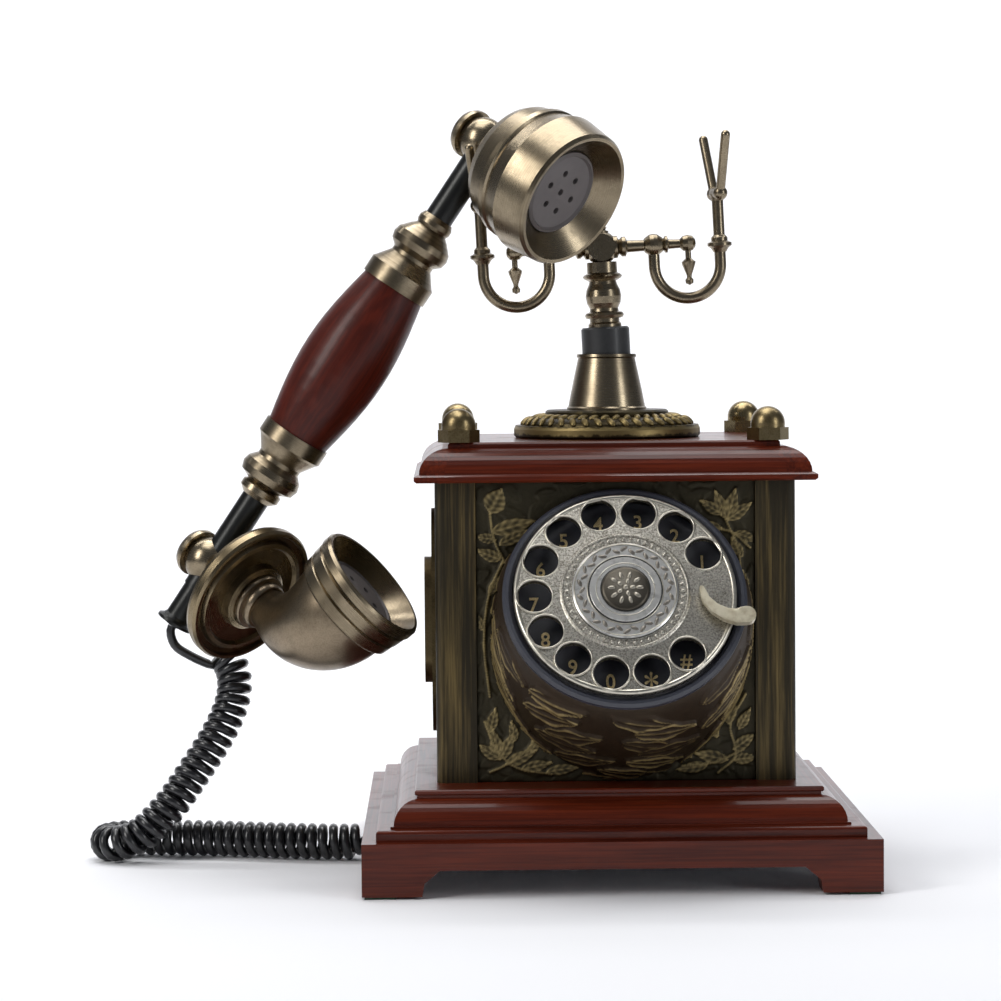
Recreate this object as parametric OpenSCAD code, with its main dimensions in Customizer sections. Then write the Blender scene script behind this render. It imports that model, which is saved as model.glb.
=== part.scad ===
// Cradle telephone with a rotary dial: a square metal case on a stepped wooden plinth, a turned
// cradle column on the lid, and a handset whose gooseneck cups face away from its wooden grip.
// Origin at the middle of the underside, +X to the right, +Y to the back, +Z up, millimetres.

/* [Plinth] */
// Width and depth of the bottom frame
base_w = 200; // [190:1:210]
// Height of the bottom frame above the floor
rail_h = 21.4; // [18:0.2:24]
// Height of the arch between the bracket feet
arch_h = 11; // [8:0.5:13]
// Width and depth of the step board
step_w = 189; // [186:1:192]
// Width and depth of the moulding where it starts
cove_w = 178; // [170:1:182]
// Width and depth of the board that carries the case
top_w = 159.2; // [156:0.2:164]

/* [Case] */
// Width of the case over its corner posts
case_w = 142; // [140:1:146]
// Depth of the case over its corner posts
case_d = 122; // [118:1:126]
// Height of the case from the plinth to the lid
case_h = 118.7; // [110:0.1:125]
// Width of a corner post
post_w = 16; // [15:0.5:18]

/* [Lid] */
// Width of the lid at its lower edge
lid_w = 158; // [154:1:162]
// Depth of the lid at its lower edge
lid_d = 138; // [134:1:142]
// Height of the lid's moulding
lid_h = 13.2; // [10:0.1:15]

/* [Dial] */
// Angle between the dial's face and the vertical
dial_tilt = 31.7; // [20:0.1:40]
// Height of the dial's centre
dial_z = 114.2; // [110:0.1:118]
// Outer radius of the bezel
bezel_r = 47.2; // [46:0.1:48]
// Radius of the finger wheel
wheel_r = 43; // [42:0.1:43.2]
// Diameter of a finger hole
finger_hole_d = 13.5; // [12:0.1:14]
// Radius of the circle that the finger holes lie on
finger_circle_r = 34.9; // [34:0.1:35.2]

/* [Cradle] */
// Lean of the cradle from the vertical
cradle_lean = 2.6; // [0:0.1:4]
// Middle of each hook from the column
hook_x = 35.2; // [34:0.1:37]
// Radius of a hook's bend
hook_r = 13.6; // [13:0.1:14]
// Diameter of the hook's tube
hook_d = 4.7; // [4:0.1:5]
// Angle of each fork tine from the upright
fork_angle = 26; // [25:0.5:27]
// Turn of each fork about its stem
fork_turn = 12; // [11:1:13]

/* [Handset] */
// Diameter of the handset's rod
rod_d = 11.8; // [11:0.1:12]
// Largest diameter of the wooden grip
grip_d = 36.5; // [34:0.1:38]
// Radius of the earpiece at its widest
ear_r = 30.1; // [29.8:0.1:30.3]
// Radius of the mouthpiece's rim
mouth_r = 25.8; // [25:0.1:26]
// Radius of the mouthpiece's back plate
plate_r = 30.2; // [29.8:0.1:31]

/* [Cord] */
// Outer diameter of the curly cord
curl_d = 15; // [14:0.5:16]
// Diameter of the straight leads
lead_d = 3.8; // [3.6:0.2:4.4]

/* [Hidden] */
$fn = 64;
gap = 0.3;                                   // clearance between bodies that move past each other
pad_h = 1;
rail_t = 14;
foot_in = 23;                                // foot's width on the floor and at the arch's crown
foot_out = 30;
step_h = 4.2;
cove_z = rail_h + step_h;
cove_h = 11.4;
board_z = cove_z + cove_h;
board_h = 2.1;
case_z = board_z + board_h;
lid_z = case_z + case_h;
lid_board_z = lid_z + lid_h;
lid_board_h = 2.2;
lid_top = lid_board_z + lid_board_h;
lid_inset = 13.5;
panel_t = 3.5;
panel_in = 1.5;
cover_z = 14;
cover_t = 1.5;
cover_screw = base_w / 2 - rail_t - 9;       // base cover's screws, from the middle
bolt = [61.2, 50.6];                         // tie rods and acorn nuts, from the middle
bolt_d = 4;
bolt_hole_d = 4.6;
wire_hole_d = 20;
plunge = 4.5;                                // travel of the cradle
lean_z = 208;                                // height the lean turns about
hub_z = 250.9;
arm_ball_x = 21.6;
hook_z = 242;
fork_z = 270.6;
fork_l = 25.5;
fork_half = 4.4;
left_fork_y = 1.5;                           // the left fork stands this much nearer the back
tine_d = 3.8;
dial_x = 2;
dial_y = -87;
plate_w = -4.9;                              // number plate's back, along the dial's axis
dial_feet = [0, 180, 270];                   // arms and screws of the dial frame
panel_y = -(case_d / 2 - panel_in);
hole_step = 360 / 14;
hole_first = 28;
handset_rest = [-51.7, -0.8, 288.3];            // rod's centre where it lies in the left fork
rest_s = 230.1;                              // the same point from the rod's lower end
handset_turn = [-20.5, 27.6, -42.3];
low_s = 29.4;                                // balls, from the rod's lower end
high_s = 236.5;
ball_r = 9.8;
ball_back = 3;                               // balls sit behind the rod's middle by this much
mouth_tilt = 19;
elbow_bend = 90 - mouth_tilt;
mouth_at = [73.6, 0, low_s + 35.5];
jack_x = -72;
cord_y = -8;
cord_z = curl_d / 2 + 0.1;
// Route of the cord's middle: the lead from the handset, the curly stretch, the tail to the plug
lead_route = [[-180.9, 7.4, 95.3], [-181.3, 7.5, 93.6], [-181, 7.5, 91.4], [-180, 8, 88.6],
    [-178, 8, 86.4], [-173.5, 9, 83.5], [-169, 10.5, 81], [-164.5, 12, 79]];
curl_route = [[-161, 14, 83.5], [-157.5, 13, 80], [-155.5, 11, 74.5], [-155.5, 8, 67], [-158, 5, 59],
    [-162, 2, 51], [-167, -1, 43], [-172.5, -4, 35], [-178.5, -7, 26.5], [-185, -9, 19],
    [-192, -10, 12.5], [-199, -9.5, 9], [-205, -6.5, cord_z], [-208, 0, cord_z], [-205, 6, cord_z],
    [-199, 9, cord_z], [-190, 9, cord_z], [-175, 7, cord_z], [-160, 4, cord_z], [-145, 0, cord_z],
    [-130, -4, cord_z], [-115, -7, cord_z], [-101.5, cord_y, cord_z]];
tail_route = [[-101.5, cord_y, cord_z], [-80, cord_y, cord_z]];

// ---------------------------------------------------------------- shared shapes

// Block with one outline on all four sides, from a list of [inset, height] points
module moulded_block(w, d, pts) {
    intersection() {
        rotate([90, 0, 0]) linear_extrude(d, center = true) moulded_section(w, pts);
        rotate([90, 0, 90]) linear_extrude(w, center = true) moulded_section(d, pts);
    }
}
module moulded_section(w, pts) {
    n = len(pts);
    polygon([for (p = pts) [w / 2 - p[0], p[1]],
             for (i = [n - 1:-1:0]) [pts[i][0] - w / 2, pts[i][1]]]);
}
// Convex quarter curve from the outside bottom to the inside top
function ovolo(inset, h, base_in, base_h, steps) =
    [for (i = [0:steps]) let (a = 90 * i / steps)
        [base_in + (inset - base_in) * (1 - cos(a)), base_h + (h - base_h) * sin(a)]];

module four_corners(p) {
    for (x = [-1, 1], y = [-1, 1]) translate([x * p[0], y * p[1], 0]) children();
}
module bolt_holes(z0, z1) {
    translate([0, 0, z0 - 1]) four_corners(bolt) cylinder(d = bolt_hole_d, h = z1 - z0 + 2);
}
// Turned piece from a list of [radius, height] points that starts and ends on the axis
module turned(pts) {
    rotate_extrude() polygon(pts);
}
module at_dial(w = 0) {
    translate([dial_x, dial_y, dial_z]) rotate([90 - dial_tilt, 0, 0]) translate([0, 0, w]) children();
}
module at_cradle(z = 0) {
    translate([0, 0, lean_z]) rotate([0, -cradle_lean, 0]) translate([0, 0, z - lean_z]) children();
}
// Handset's own frame: +Z up the rod, +X towards the speaking side
module at_handset(s = 0) {
    translate(handset_rest) rotate(handset_turn) translate([0, 0, s - rest_s]) children();
}

// ---------------------------------------------------------------- plinth

module rail() {
    outer = base_w / 2;
    inner = outer - rail_t;
    difference() {
        translate([0, 0, pad_h]) linear_extrude(rail_h - pad_h)
            polygon([[-outer, -outer], [outer, -outer], [inner, -inner], [-inner, -inner]]);
        translate([0, -inner + 1, 0]) rotate([90, 0, 0]) linear_extrude(rail_t + 2)
            polygon([[foot_in - outer, 0], [outer - foot_in, 0], [outer - foot_in - 1, 6],
                     [outer - foot_out, arch_h], [foot_out - outer, arch_h],
                     [foot_in - outer + 1, 6]]);
    }
}
// Front or back rail with the two glue blocks that the base cover is screwed to
module blocked_rail() {
    side = 18;
    z = cover_z + cover_t;
    difference() {
        union() {
            rail();
            for (x = [-1, 1]) translate([cover_screw * x - side / 2, -cover_screw - side / 2, z])
                cube([side, side, rail_h - z]);
        }
        for (x = [-1, 1]) translate([cover_screw * x, -cover_screw, z - 1]) cylinder(d = 3, h = 6);
    }
}
module front_rail() { color("saddlebrown") blocked_rail(); }
module back_rail() { color("saddlebrown") rotate([0, 0, 180]) blocked_rail(); }
module side_rails() { color("saddlebrown") for (a = [90, -90]) rotate([0, 0, a]) rail(); }

module felt_pads() {
    pad = 12;
    color("darkgreen") four_corners([base_w / 2 - 7, base_w / 2 - 7])
        translate([-pad / 2, -pad / 2, 0]) cube([pad, pad, pad_h]);
}
module base_cover() {
    side = base_w - 2 * rail_t - 1;
    color("dimgray") difference() {
        translate([-side / 2, -side / 2, cover_z]) cube([side, side, cover_t]);
        translate([0, 0, cover_z - 1]) four_corners([cover_screw, cover_screw])
            cylinder(d = 3.4, h = cover_t + 2);
        translate([jack_x + 8, cord_y, cover_z - 1]) cylinder(d = 6, h = cover_t + 2);
    }
}
module cover_screws() {
    color("silver") four_corners([cover_screw, cover_screw]) difference() {
        union() {
            translate([0, 0, cover_z - 2]) cylinder(d = 6, h = 2);
            translate([0, 0, cover_z - 1]) cylinder(d = 2.9, h = 6);
        }
        translate([-2.2, -0.4, cover_z - 2.5]) cube([4.4, 0.8, 1.2]);
        translate([-0.4, -2.2, cover_z - 2.5]) cube([0.8, 4.4, 1.2]);
    }
}
module step_board() {
    r = 1.2;
    color("saddlebrown") difference() {
        translate([0, 0, rail_h]) moulded_block(step_w, step_w,
            concat([[0, 0]], ovolo(r, step_h, 0, step_h - r, 4)));
        bolt_holes(rail_h, cove_z);
        translate([0, 0, rail_h - 1]) four_corners(bolt) cylinder(d = 9, h = 4.3);
        translate([jack_x + 8, cord_y, rail_h - 1]) cylinder(d = wire_hole_d / 2, h = step_h + 2);
    }
}
module cove_moulding() {
    inset = (cove_w - top_w) / 2;
    color("saddlebrown") difference() {
        translate([0, 0, cove_z]) moulded_block(cove_w, cove_w,
            concat([[0, 0], [0, 0.8]], ovolo(inset + 1, cove_h - 1.2, 1.2, 0.8, 8),
                   [[inset + 1, cove_h]]));
        bolt_holes(cove_z, board_z);
        translate([jack_x + 12, 0, cove_z - 1]) cylinder(d = wire_hole_d, h = cove_h + 2);
    }
}
module case_board() {
    color("sienna") difference() {
        translate([0, 0, board_z]) moulded_block(top_w, top_w, [[0.4, 0], [0, 0.5], [0, 1.6], [0.5, 2.1]]);
        bolt_holes(board_z, case_z);
        translate([jack_x + 15, 0, board_z - 1]) cylinder(d = wire_hole_d, h = board_h + 2);
    }
}
// Socket under the base cover that the handset cord plugs into from the left
module cord_jack() {
    color("#222222") difference() {
        translate([jack_x, cord_y - 7, 2]) cube([16, 14, cover_z - 2]);
        translate([jack_x - 1, cord_y - 4.2, cord_z - 3.6]) cube([11, 8.4, 7.2]);
    }
}

// ---------------------------------------------------------------- case

module corner_posts() {
    r = 3;
    color("darkolivegreen") for (sx = [-1, 1], sy = [-1, 1]) scale_side(sx, sy)
        translate([case_w / 2 - post_w, case_d / 2 - post_w, case_z]) difference() {
            linear_extrude(case_h) union() {
                square([post_w - r, post_w]);
                square([post_w, post_w - r]);
                translate([post_w - r, post_w - r]) circle(r);
            }
            translate([bolt[0] - case_w / 2 + post_w, bolt[1] - case_d / 2 + post_w, -1])
                cylinder(d = bolt_hole_d, h = case_h + 2);
        }
}
module scale_side(sx, sy) {
    mirror([sx < 0 ? 1 : 0, 0, 0]) mirror([0, sy < 0 ? 1 : 0, 0]) children();
}
module wide_panel() {
    w = case_w - 2 * post_w;
    translate([-w / 2, -panel_t, case_z]) cube([w, panel_t, case_h]);
}
module front_panel() {
    color("darkolivegreen") difference() {
        translate([0, panel_y + panel_t, 0]) wide_panel();
        translate([dial_x, panel_y - 1, dial_z - 20]) rotate([-90, 0, 0])
            cylinder(d = wire_hole_d, h = panel_t + 2);
    }
}
module back_panel() {
    color("darkolivegreen") difference() {
        translate([0, -panel_y, 0]) wide_panel();
        translate([-8.2, -panel_y - panel_t - 1, case_z + 6]) cube([16.4, panel_t + 2, 14.4]);
    }
}
module side_panel() {
    w = case_d - 2 * post_w;
    translate([case_w / 2 - panel_in - panel_t, -w / 2, case_z]) cube([panel_t, w, case_h]);
}
module side_panels() { color("darkolivegreen") for (m = [0, 1]) mirror([m, 0, 0]) side_panel(); }

// Cast oval cartouches on both side panels
module side_reliefs() {
    x = case_w / 2 - panel_in;
    color("darkgoldenrod") for (m = [0, 1]) mirror([m, 0, 0]) difference() {
        translate([x, 0, case_z + case_h / 2]) rotate([0, 90, 0]) union() {
            linear_extrude(3.2) union() {
                for (s = [-1, 1]) translate([24 * s, 0]) circle(22);
                square([48, 44], center = true);
            }
            linear_extrude(6.2) union() {
                for (s = [-1, 1]) translate([14 * s, 0]) circle(12);
                square([28, 24], center = true);
            }
        }
        translate([x + 3.2, 0, case_z + case_h / 2]) rotate([0, 90, 0]) cylinder(r = 7, h = 4);
    }
}
module line_jack() {
    z = case_z + 6.2;
    y = -panel_y - panel_t - 10;
    color("#222222") difference() {
        translate([-8, y, z]) cube([16, 14, 14]);
        translate([-4.9, y + 4, z + 3]) cube([9.8, 12, 7.4]);
        translate([-1.6, y + 4, z + 2]) cube([3.2, 12, 2]);
    }
}
module circuit_board() {
    color("darkgreen") union() {
        translate([-30, -28, case_z + 8]) cube([60, 62, 1.6]);
        translate([-22, 10, case_z + 9.6]) cube([14, 12, 9]);
        translate([6, 12, case_z + 9.6]) cube([18, 8, 5]);
        for (x = [-14, -2, 10]) translate([x, -12, case_z + 9.6]) cylinder(d = 7, h = 11);
    }
    color("silver") for (x = [-26, 26], y = [-24, 30])
        translate([x, y, case_z]) cylinder(d = 6, h = 8);
}
// Bell, striker coil and their bracket
module ringer() {
    y = 26;
    z = case_z + 44;
    color("goldenrod") translate([-14, y, z + 12]) turned(
        [[0, 8], [3, 8], [16, 6.5], [21, -2], [22.5, -10], [21, -10], [19.4, -2], [15, 4.8], [0, 6]]);
    color("silver") union() {
        translate([-16, y - 2, z - 6]) cube([4, 4, 25]);
        translate([-16, y - 2, z - 8]) cube([44, 4, 3]);
        translate([24, y - 2, z - 8]) cube([4, 4 + 57.5 - panel_t - y - 2 - 0.5, 12]);
    }
    color("brown") translate([19, y, z - 5]) cylinder(d = 12, h = 20);
}
module tie_rods() {
    z0 = rail_h + 0.5;
    color("silver") four_corners(bolt) union() {
        translate([0, 0, z0 - 3]) cylinder(d = bolt_d, h = lid_top + 8 - z0 + 3);
        translate([0, 0, z0 - 0.5]) cylinder(d = 7.6, h = 3.1, $fn = 6);
    }
}

// ---------------------------------------------------------------- lid

module plunger_bore(z0, z1, d) {
    at_cradle(z0) cylinder(d = d, h = z1 - z0);
}
module lid_moulding() {
    color("saddlebrown") difference() {
        translate([0, 0, lid_z]) moulded_block(lid_w, lid_d,
            concat([[1, 0], [0, 0.8], [0, 2.4], [1.4, 3.2]], ovolo(lid_inset, lid_h, 2, 3.2, 8)));
        bolt_holes(lid_z, lid_board_z);
        plunger_bore(lid_z - 4, lid_top, 14);
    }
}
module lid_board() {
    color("saddlebrown") difference() {
        translate([0, 0, lid_board_z]) moulded_block(lid_w - 2 * lid_inset, lid_d - 2 * lid_inset,
            [[0, 0], [0, lid_board_h - 0.7], [0.7, lid_board_h]]);
        bolt_holes(lid_board_z, lid_top);
        plunger_bore(lid_z, lid_top + 4, 14);
    }
}
module acorn_nuts() {
    hex_h = 4.9;
    r = 6.8;
    color("darkkhaki") translate([0, 0, lid_top]) four_corners(bolt) difference() {
        union() {
            cylinder(d = 16.6, h = hex_h, $fn = 6);
            translate([0, 0, hex_h]) cylinder(r = r, h = 13.3 - hex_h - r);
            translate([0, 0, 13.3 - r]) sphere(r);
        }
        translate([0, 0, -1]) cylinder(d = bolt_d, h = 10);
    }
}

// ---------------------------------------------------------------- dial

module dial_housing() {
    depth = 70;
    color("darkolivegreen") difference() {
        at_dial() rotate_extrude() polygon(
            [[bezel_r - 3.4, -2], [bezel_r - 0.6, -2], [bezel_r + 1.4, -8], [bezel_r + 2.6, -18],
             [bezel_r + 3.2, -30], [bezel_r + 2.8, -44], [bezel_r, -depth], [bezel_r - 3, -depth],
             [bezel_r - 0.2, -44], [bezel_r + 0.2, -30], [bezel_r - 0.4, -12]]);
        translate([-60, panel_y, -20]) cube([120, 80, 220]);
    }
}
module bezel_ring() {
    color("#1c1c22") at_dial() rotate_extrude() polygon(
        [[wheel_r + 0.5, -2], [bezel_r - 0.6, -2], [bezel_r, -1.2], [bezel_r, 0.6],
         [bezel_r - 1.2, 1.6], [bezel_r - 2.4, 1.6], [wheel_r + 0.5, 0.4]]);
}
module number_plate() {
    color("#15151c") at_dial() difference() {
        translate([0, 0, plate_w]) cylinder(r = wheel_r + 0.2, h = 1.4);
        translate([0, 0, plate_w - 1]) cylinder(d = 10.6, h = 4);
        for (a = dial_feet) rotate([0, 0, a]) translate([20, 0, plate_w - 1]) cylinder(d = 3, h = 3);
    }
}
// Horn that stops the finger, on a post that stands on the bezel
module finger_stop() {
    route = [[29.2, -0.6], [30.6, -5.2], [33.8, -9.2], [38.2, -11.9], [42.6, -12.8], [45.8, -12.2]];
    color("ivory") at_dial() union() {
        for (i = [0:4]) hull() for (k = [i, i + 1]) translate([route[k][0], route[k][1], 6.2])
            cylinder(r = 1 + 0.5 * k, h = 2.2 + 0.1 * k, $fn = 24);
        translate([43.8, -11.9, 1.6]) cylinder(r = 1.4, h = 5);
    }
}
module dial_frame() {
    color("silver") at_dial() union() {
        difference() {
            union() {
                translate([0, 0, -12]) cylinder(r = 24, h = 1.6);
                translate([0, 0, -12]) cylinder(d = 10, h = 7);
                for (a = dial_feet) rotate([0, 0, a]) union() {
                    translate([20, 0, -12]) cylinder(d = 5, h = plate_w + 12);
                    translate([20, -3.5, -12]) cube([25.7, 7, 1.6]);
                }
            }
            translate([0, 0, -13]) cylinder(d = 6.2, h = 9);
            translate([0, -16, -13]) cylinder(d = 4.2, h = 4);
        }
        for (a = dial_feet) rotate([0, 0, a]) translate([20, 0, plate_w]) cylinder(d = 2.9, h = 1.4);
    }
}
module pulse_contacts() {
    color("khaki") at_dial() for (k = [0, 1]) union() {
        translate([8, 4 + 3.5 * k, -21]) cube([11, 0.6, 5]);
        translate([14, 3.2 + 3.5 * k, -22]) cube([5, 2.2, 10]);
    }
}
module finger_wheel() {
    color("silver") at_dial() difference() {
        rotate_extrude() polygon(
            [[3.1, 2], [3.1, 5], [24.5, 5], [25.2, 4.6], [41, 3.9], [42.2, 3.9], [wheel_r, 3.2],
             [wheel_r, 1.2], [41, 1.6], [12, 2]]);
        for (k = [0:11]) rotate([0, 0, hole_first + hole_step * k])
            translate([finger_circle_r, 0, 0]) cylinder(d = finger_hole_d, h = 8);
    }
}
module wheel_cap() {
    color("silver") at_dial(5) turned(
        [[0, 0], [20.4, 0], [20.4, 0.9], [19.8, 1.3], [14.4, 1.3], [13.6, 1.9], [9.6, 1.9],
         [9.6, 1.4], [9.2, 1.4], [9.2, 2.4], [7.6, 2.8], [0, 3]]);
}
module dial_shaft() {
    color("gainsboro") at_dial() union() {
        translate([0, 0, -17]) cylinder(d = 6.1, h = 22);
        translate([0, 0, -15.6]) linear_extrude(2.4) polygon([for (i = [0:95])
            let (a = 360 * i / 96, r = (i % 4 < 2) ? 13.2 : 12.4) [r * cos(a), r * sin(a)]]);
    }
}
// Flat spiral that returns the dial, around the frame's bush
module dial_spring() {
    color("steelblue") at_dial(-10.2) linear_extrude(2.4) union() {
        for (k = [0:3]) difference() {
            circle(6.6 + 1.5 * k);
            circle(6 + 1.5 * k);
        }
        translate([5.2, -0.5]) square([6, 1]);
    }
}
module governor() {
    color("goldenrod") at_dial() translate([0, -16, 0]) union() {
        translate([0, 0, -26]) cylinder(d = 4.1, h = 15.4);
        translate([0, 0, -15.4]) cylinder(r = 2.4, h = 2);
        translate([0, 0, -25]) cylinder(r = 5, h = 1.4);
        for (s = [-1, 1]) translate([5.4 * s - 1.6, -2, -24.6]) cube([3.2, 4, 5]);
    }
}

// ---------------------------------------------------------------- cradle

module lid_flange() {
    color("darkgoldenrod") difference() {
        turned(flange_outline());
        plunger_bore(lid_z, 190, 14);
    }
}
function flange_outline() = concat(
    [[0, lid_top], [37.4, lid_top], [38.3, lid_top + 1], [38.3, lid_top + 3.6], [37.6, lid_top + 5.1],
     [35.6, lid_top + 5.1]],
    [for (i = [0:6]) let (a = 15 * i) [25.3 + 9.6 * cos(a), lid_top + 5.1 + 3.6 * sin(a)]],
    [[25.3, lid_top + 10.6], [24.4, lid_top + 11.3], [0, lid_top + 11.3]]);
module guide_cone() {
    z = lid_top + 11.3;
    color("darkkhaki") difference() {
        turned([[0, z], [16.4, z], [16.4, z + 0.8], [15.8, z + 1.4], [14.3, z + 9], [12.8, z + 16],
                [11.7, 205.6], [12.3, 206.2], [12.1, 207.3], [0, 207.3]]);
        plunger_bore(lid_z, 210, 9.4);
        plunger_bore(196, 214, 20.4);
    }
}
module plunger_collar() {
    color("#26282a") at_cradle() difference() {
        translate([0, 0, 202]) union() {
            cylinder(d = 19.8, h = 15.6);
            translate([0, 0, 15.6]) cylinder(d1 = 19.8, d2 = 18.4, h = 0.8);
        }
        translate([0, 0, 201]) cylinder(d = 8, h = 18);
    }
}
module plunger_rod() {
    color("silver") at_cradle() difference() {
        union() {
            translate([0, 0, 134]) cylinder(d = 8, h = 92);
            translate([0, 0, 152.5]) cylinder(d = 14, h = 1.5);
        }
        translate([0, 0, 133]) cylinder(d = 3, h = 4);
    }
}
module plunger_guide() {
    z = 140;
    color("silver") difference() {
        union() {
            translate([-30, -9, z - 2]) cube([62, 18, 2]);
            for (s = [-1, 1]) translate([s < 0 ? -30 : 30, -9, z - 2]) cube([2, 18, lid_z - z + 2]);
        }
        plunger_bore(z - 4, z + 2, 8.6);
    }
}
function helix(r, z0, pitch, turns, steps) =
    [for (i = [0:steps]) let (a = 360 * turns * i / steps) [r * cos(a), r * sin(a), z0 + pitch * a / 360]];
module plunger_spring() {
    color("silver") at_cradle() sweep(helix(5.6, 141.2, 2.6, 4, 48), 0.5, 6);
}
module hook_switch() {
    color("#d8c9a0") union() {
        translate([12, -8, 122]) cube([14, 16, 10]);
        translate([26, -8, 124]) cube([4.2, 16, 14]);
    }
    color("khaki") for (k = [0:2]) translate([1, -5, 123.6 + 2.6 * k]) cube([12, 10, 0.5]);
}
module column() {
    color("darkgoldenrod") at_cradle() difference() {
        turned([[0, 218.4], [6.8, 218.4], [6.8, 219.6], [6.1, 220.4], [6.1, 221.8], [7.6, 222.2],
                [8.1, 223.2], [7.6, 224.2], [6, 224.8], [5.8, 226], [6.9, 228.2], [7.35, 231],
                [6.9, 233.6], [5.8, 236], [5.5, 237.2], [7.4, 238.2], [8.25, 239.1], [7.4, 240],
                [6.2, 240.6], [6.2, 245], [0, 245]]);
        translate([0, 0, 217]) cylinder(d = 8, h = 9);
        translate([0, 0, hub_z]) sphere(6.9);
    }
}
// Ball tee with its two turned arms and their pendants
module cradle_arms() {
    color("darkgoldenrod") at_cradle() union() {
        translate([0, 0, hub_z]) sphere(6.9);
        translate([0, -8, hub_z]) rotate([-90, 0, 0]) cylinder(r = 5.6, h = 16);
        translate([0, 0, hub_z])
            turned([[0, 0], [3.4, 5], [3.4, 6.8], [2.2, 7.2], [2.8, 8.2], [1.6, 9.4], [0, 9.8]]);
        for (s = [-1, 1]) translate([0, 0, hub_z]) rotate([0, 90 * s, 0]) turned(
            [[0, 0], [4.6, 4], [4.6, 6.6], [3, 7.4], [4.1, 8.6], [4.1, 10], [2.5, 10.8], [2.3, 17.6],
             [3, 18], [4.4, 20], [4.6, 21.6], [4.4, 23.2], [3, 25.2], [2.4, 25.6], [3.5, 26.4],
             [3.5, 27.2], [2, 27.8], [1.8, 32.4], [3, 33.6], [3.5, 35.6], [3, 37.6], [1.6, 38.8], [0, 39.1]]);
        for (s = [-1, 1]) translate([hook_x * s + 0.5 * s, 0, hub_z]) turned(
            [[0, 0], [1.2, -3], [1.2, -6.2], [2.9, -7.6], [2.7, -8.8], [1.1, -13], [1, -14],
             [1.7, -15], [1.6, -16.4], [0, -17.2]]);
    }
}
module cradle_hooks() {
    outer = hook_x + hook_r;
    color("darkgoldenrod") at_cradle() for (m = [0, 1]) mirror([m, 0, 0]) union() {
        translate([hook_x, 0, hook_z]) rotate([90, 0, 0]) rotate([0, 0, 180])
            rotate_extrude(angle = 180) translate([hook_r, 0]) circle(d = hook_d);
        translate([hook_x - hook_r, 0, hook_z]) cylinder(d = hook_d, h = hub_z - hook_z - 3);
        translate([outer, 0, hook_z]) cylinder(d = hook_d, h = fork_z - hook_z - 3);
        translate([outer, 0, 246.6]) turned(
            [[0, 0], [2.6, 0], [3.6, 1.6], [5, 2.6], [5, 3.8], [3.4, 4.6], [3.4, 6], [2.5, 7], [0, 7]]);
    }
}
module cradle_forks() {
    color("darkgoldenrod") at_cradle() for (m = [0, 1]) mirror([m, 0, 0])
        translate([hook_x + hook_r, m * left_fork_y, fork_z]) rotate([0, 0, fork_turn]) union() {
            translate([0, 0, -3]) cylinder(d1 = 5, d2 = 6, h = 3);
            rotate([90, 0, 0]) cylinder(d = 5.4, h = 2 * fork_half, center = true);
            for (s = [-1, 1]) translate([0, fork_half * s, 0]) rotate([-fork_angle * s, 0, 0]) union() {
                sphere(3);
                cylinder(d = tine_d, h = fork_l);
                translate([0, 0, fork_l]) sphere(tine_d / 2);
            }
        }
}

// ---------------------------------------------------------------- handset

module handset_rod() {
    color("#33373a") at_handset() difference() {
        union() {
            turned([[0, 0], [7.8, 0], [7.8, 1.2], [6.2, 2.2], [5.4, 3.4],
                    [5.4, low_s - 12], [0, low_s - 12]]);
            translate([0, 0, low_s - 12]) cylinder(d = rod_d, h = 62.4 - low_s + 12);
            translate([0, 0, 200]) cylinder(d = rod_d, h = high_s - 200);
        }
        translate([0, 0, -1]) cylinder(d = lead_d + 2, h = 8);
    }
}
module handset_grip() {
    color("maroon") at_handset() turned(concat([[0, 93.9]],
        [for (i = [0:12]) let (t = i / 12) [13.6 + (grip_d / 2 - 13.6) * sin(180 * t), 93.9 + 72.2 * t]],
        [[0, 166.1]]));
}
module grip_ferrules() {
    color("darkkhaki") at_handset() union() {
        turned([[0, 62.4], [6.4, 62.4], [8.8, 64.6], [8.8, 67.2], [7.4, 68.2], [12, 70.4], [13, 73.5],
                [12.2, 76.4], [9.6, 79.2], [9.6, 81], [13.4, 86.6], [14.45, 87.7], [14.45, 93.9], [0, 93.9]]);
        turned([[0, 166.1], [14.45, 166.1], [14.45, 173.1], [13.4, 174.2], [9.4, 179.6], [9.4, 181.2],
                [12, 183.6], [12.7, 186.4], [12, 189.2], [8.6, 193], [6.8, 194.6], [7.5, 196],
                [7.5, 198], [6.4, 200], [0, 200]]);
    }
}
module rod_balls() {
    color("darkkhaki") at_handset() for (s = [low_s, high_s]) translate([-ball_back, 0, s]) difference() {
        union() {
            sphere(ball_r);
            rotate([0, -90, 0]) turned([[0, 6], [10.15, 6], [10.15, 7.6], [9.2, 9.6], [6.6, 11.2], [3.4, 12],
                                        [0, 12.2]]);
        }
        translate([ball_back, 0, s == low_s ? -20 : -40]) cylinder(d = rod_d, h = 40);
    }
}
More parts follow.
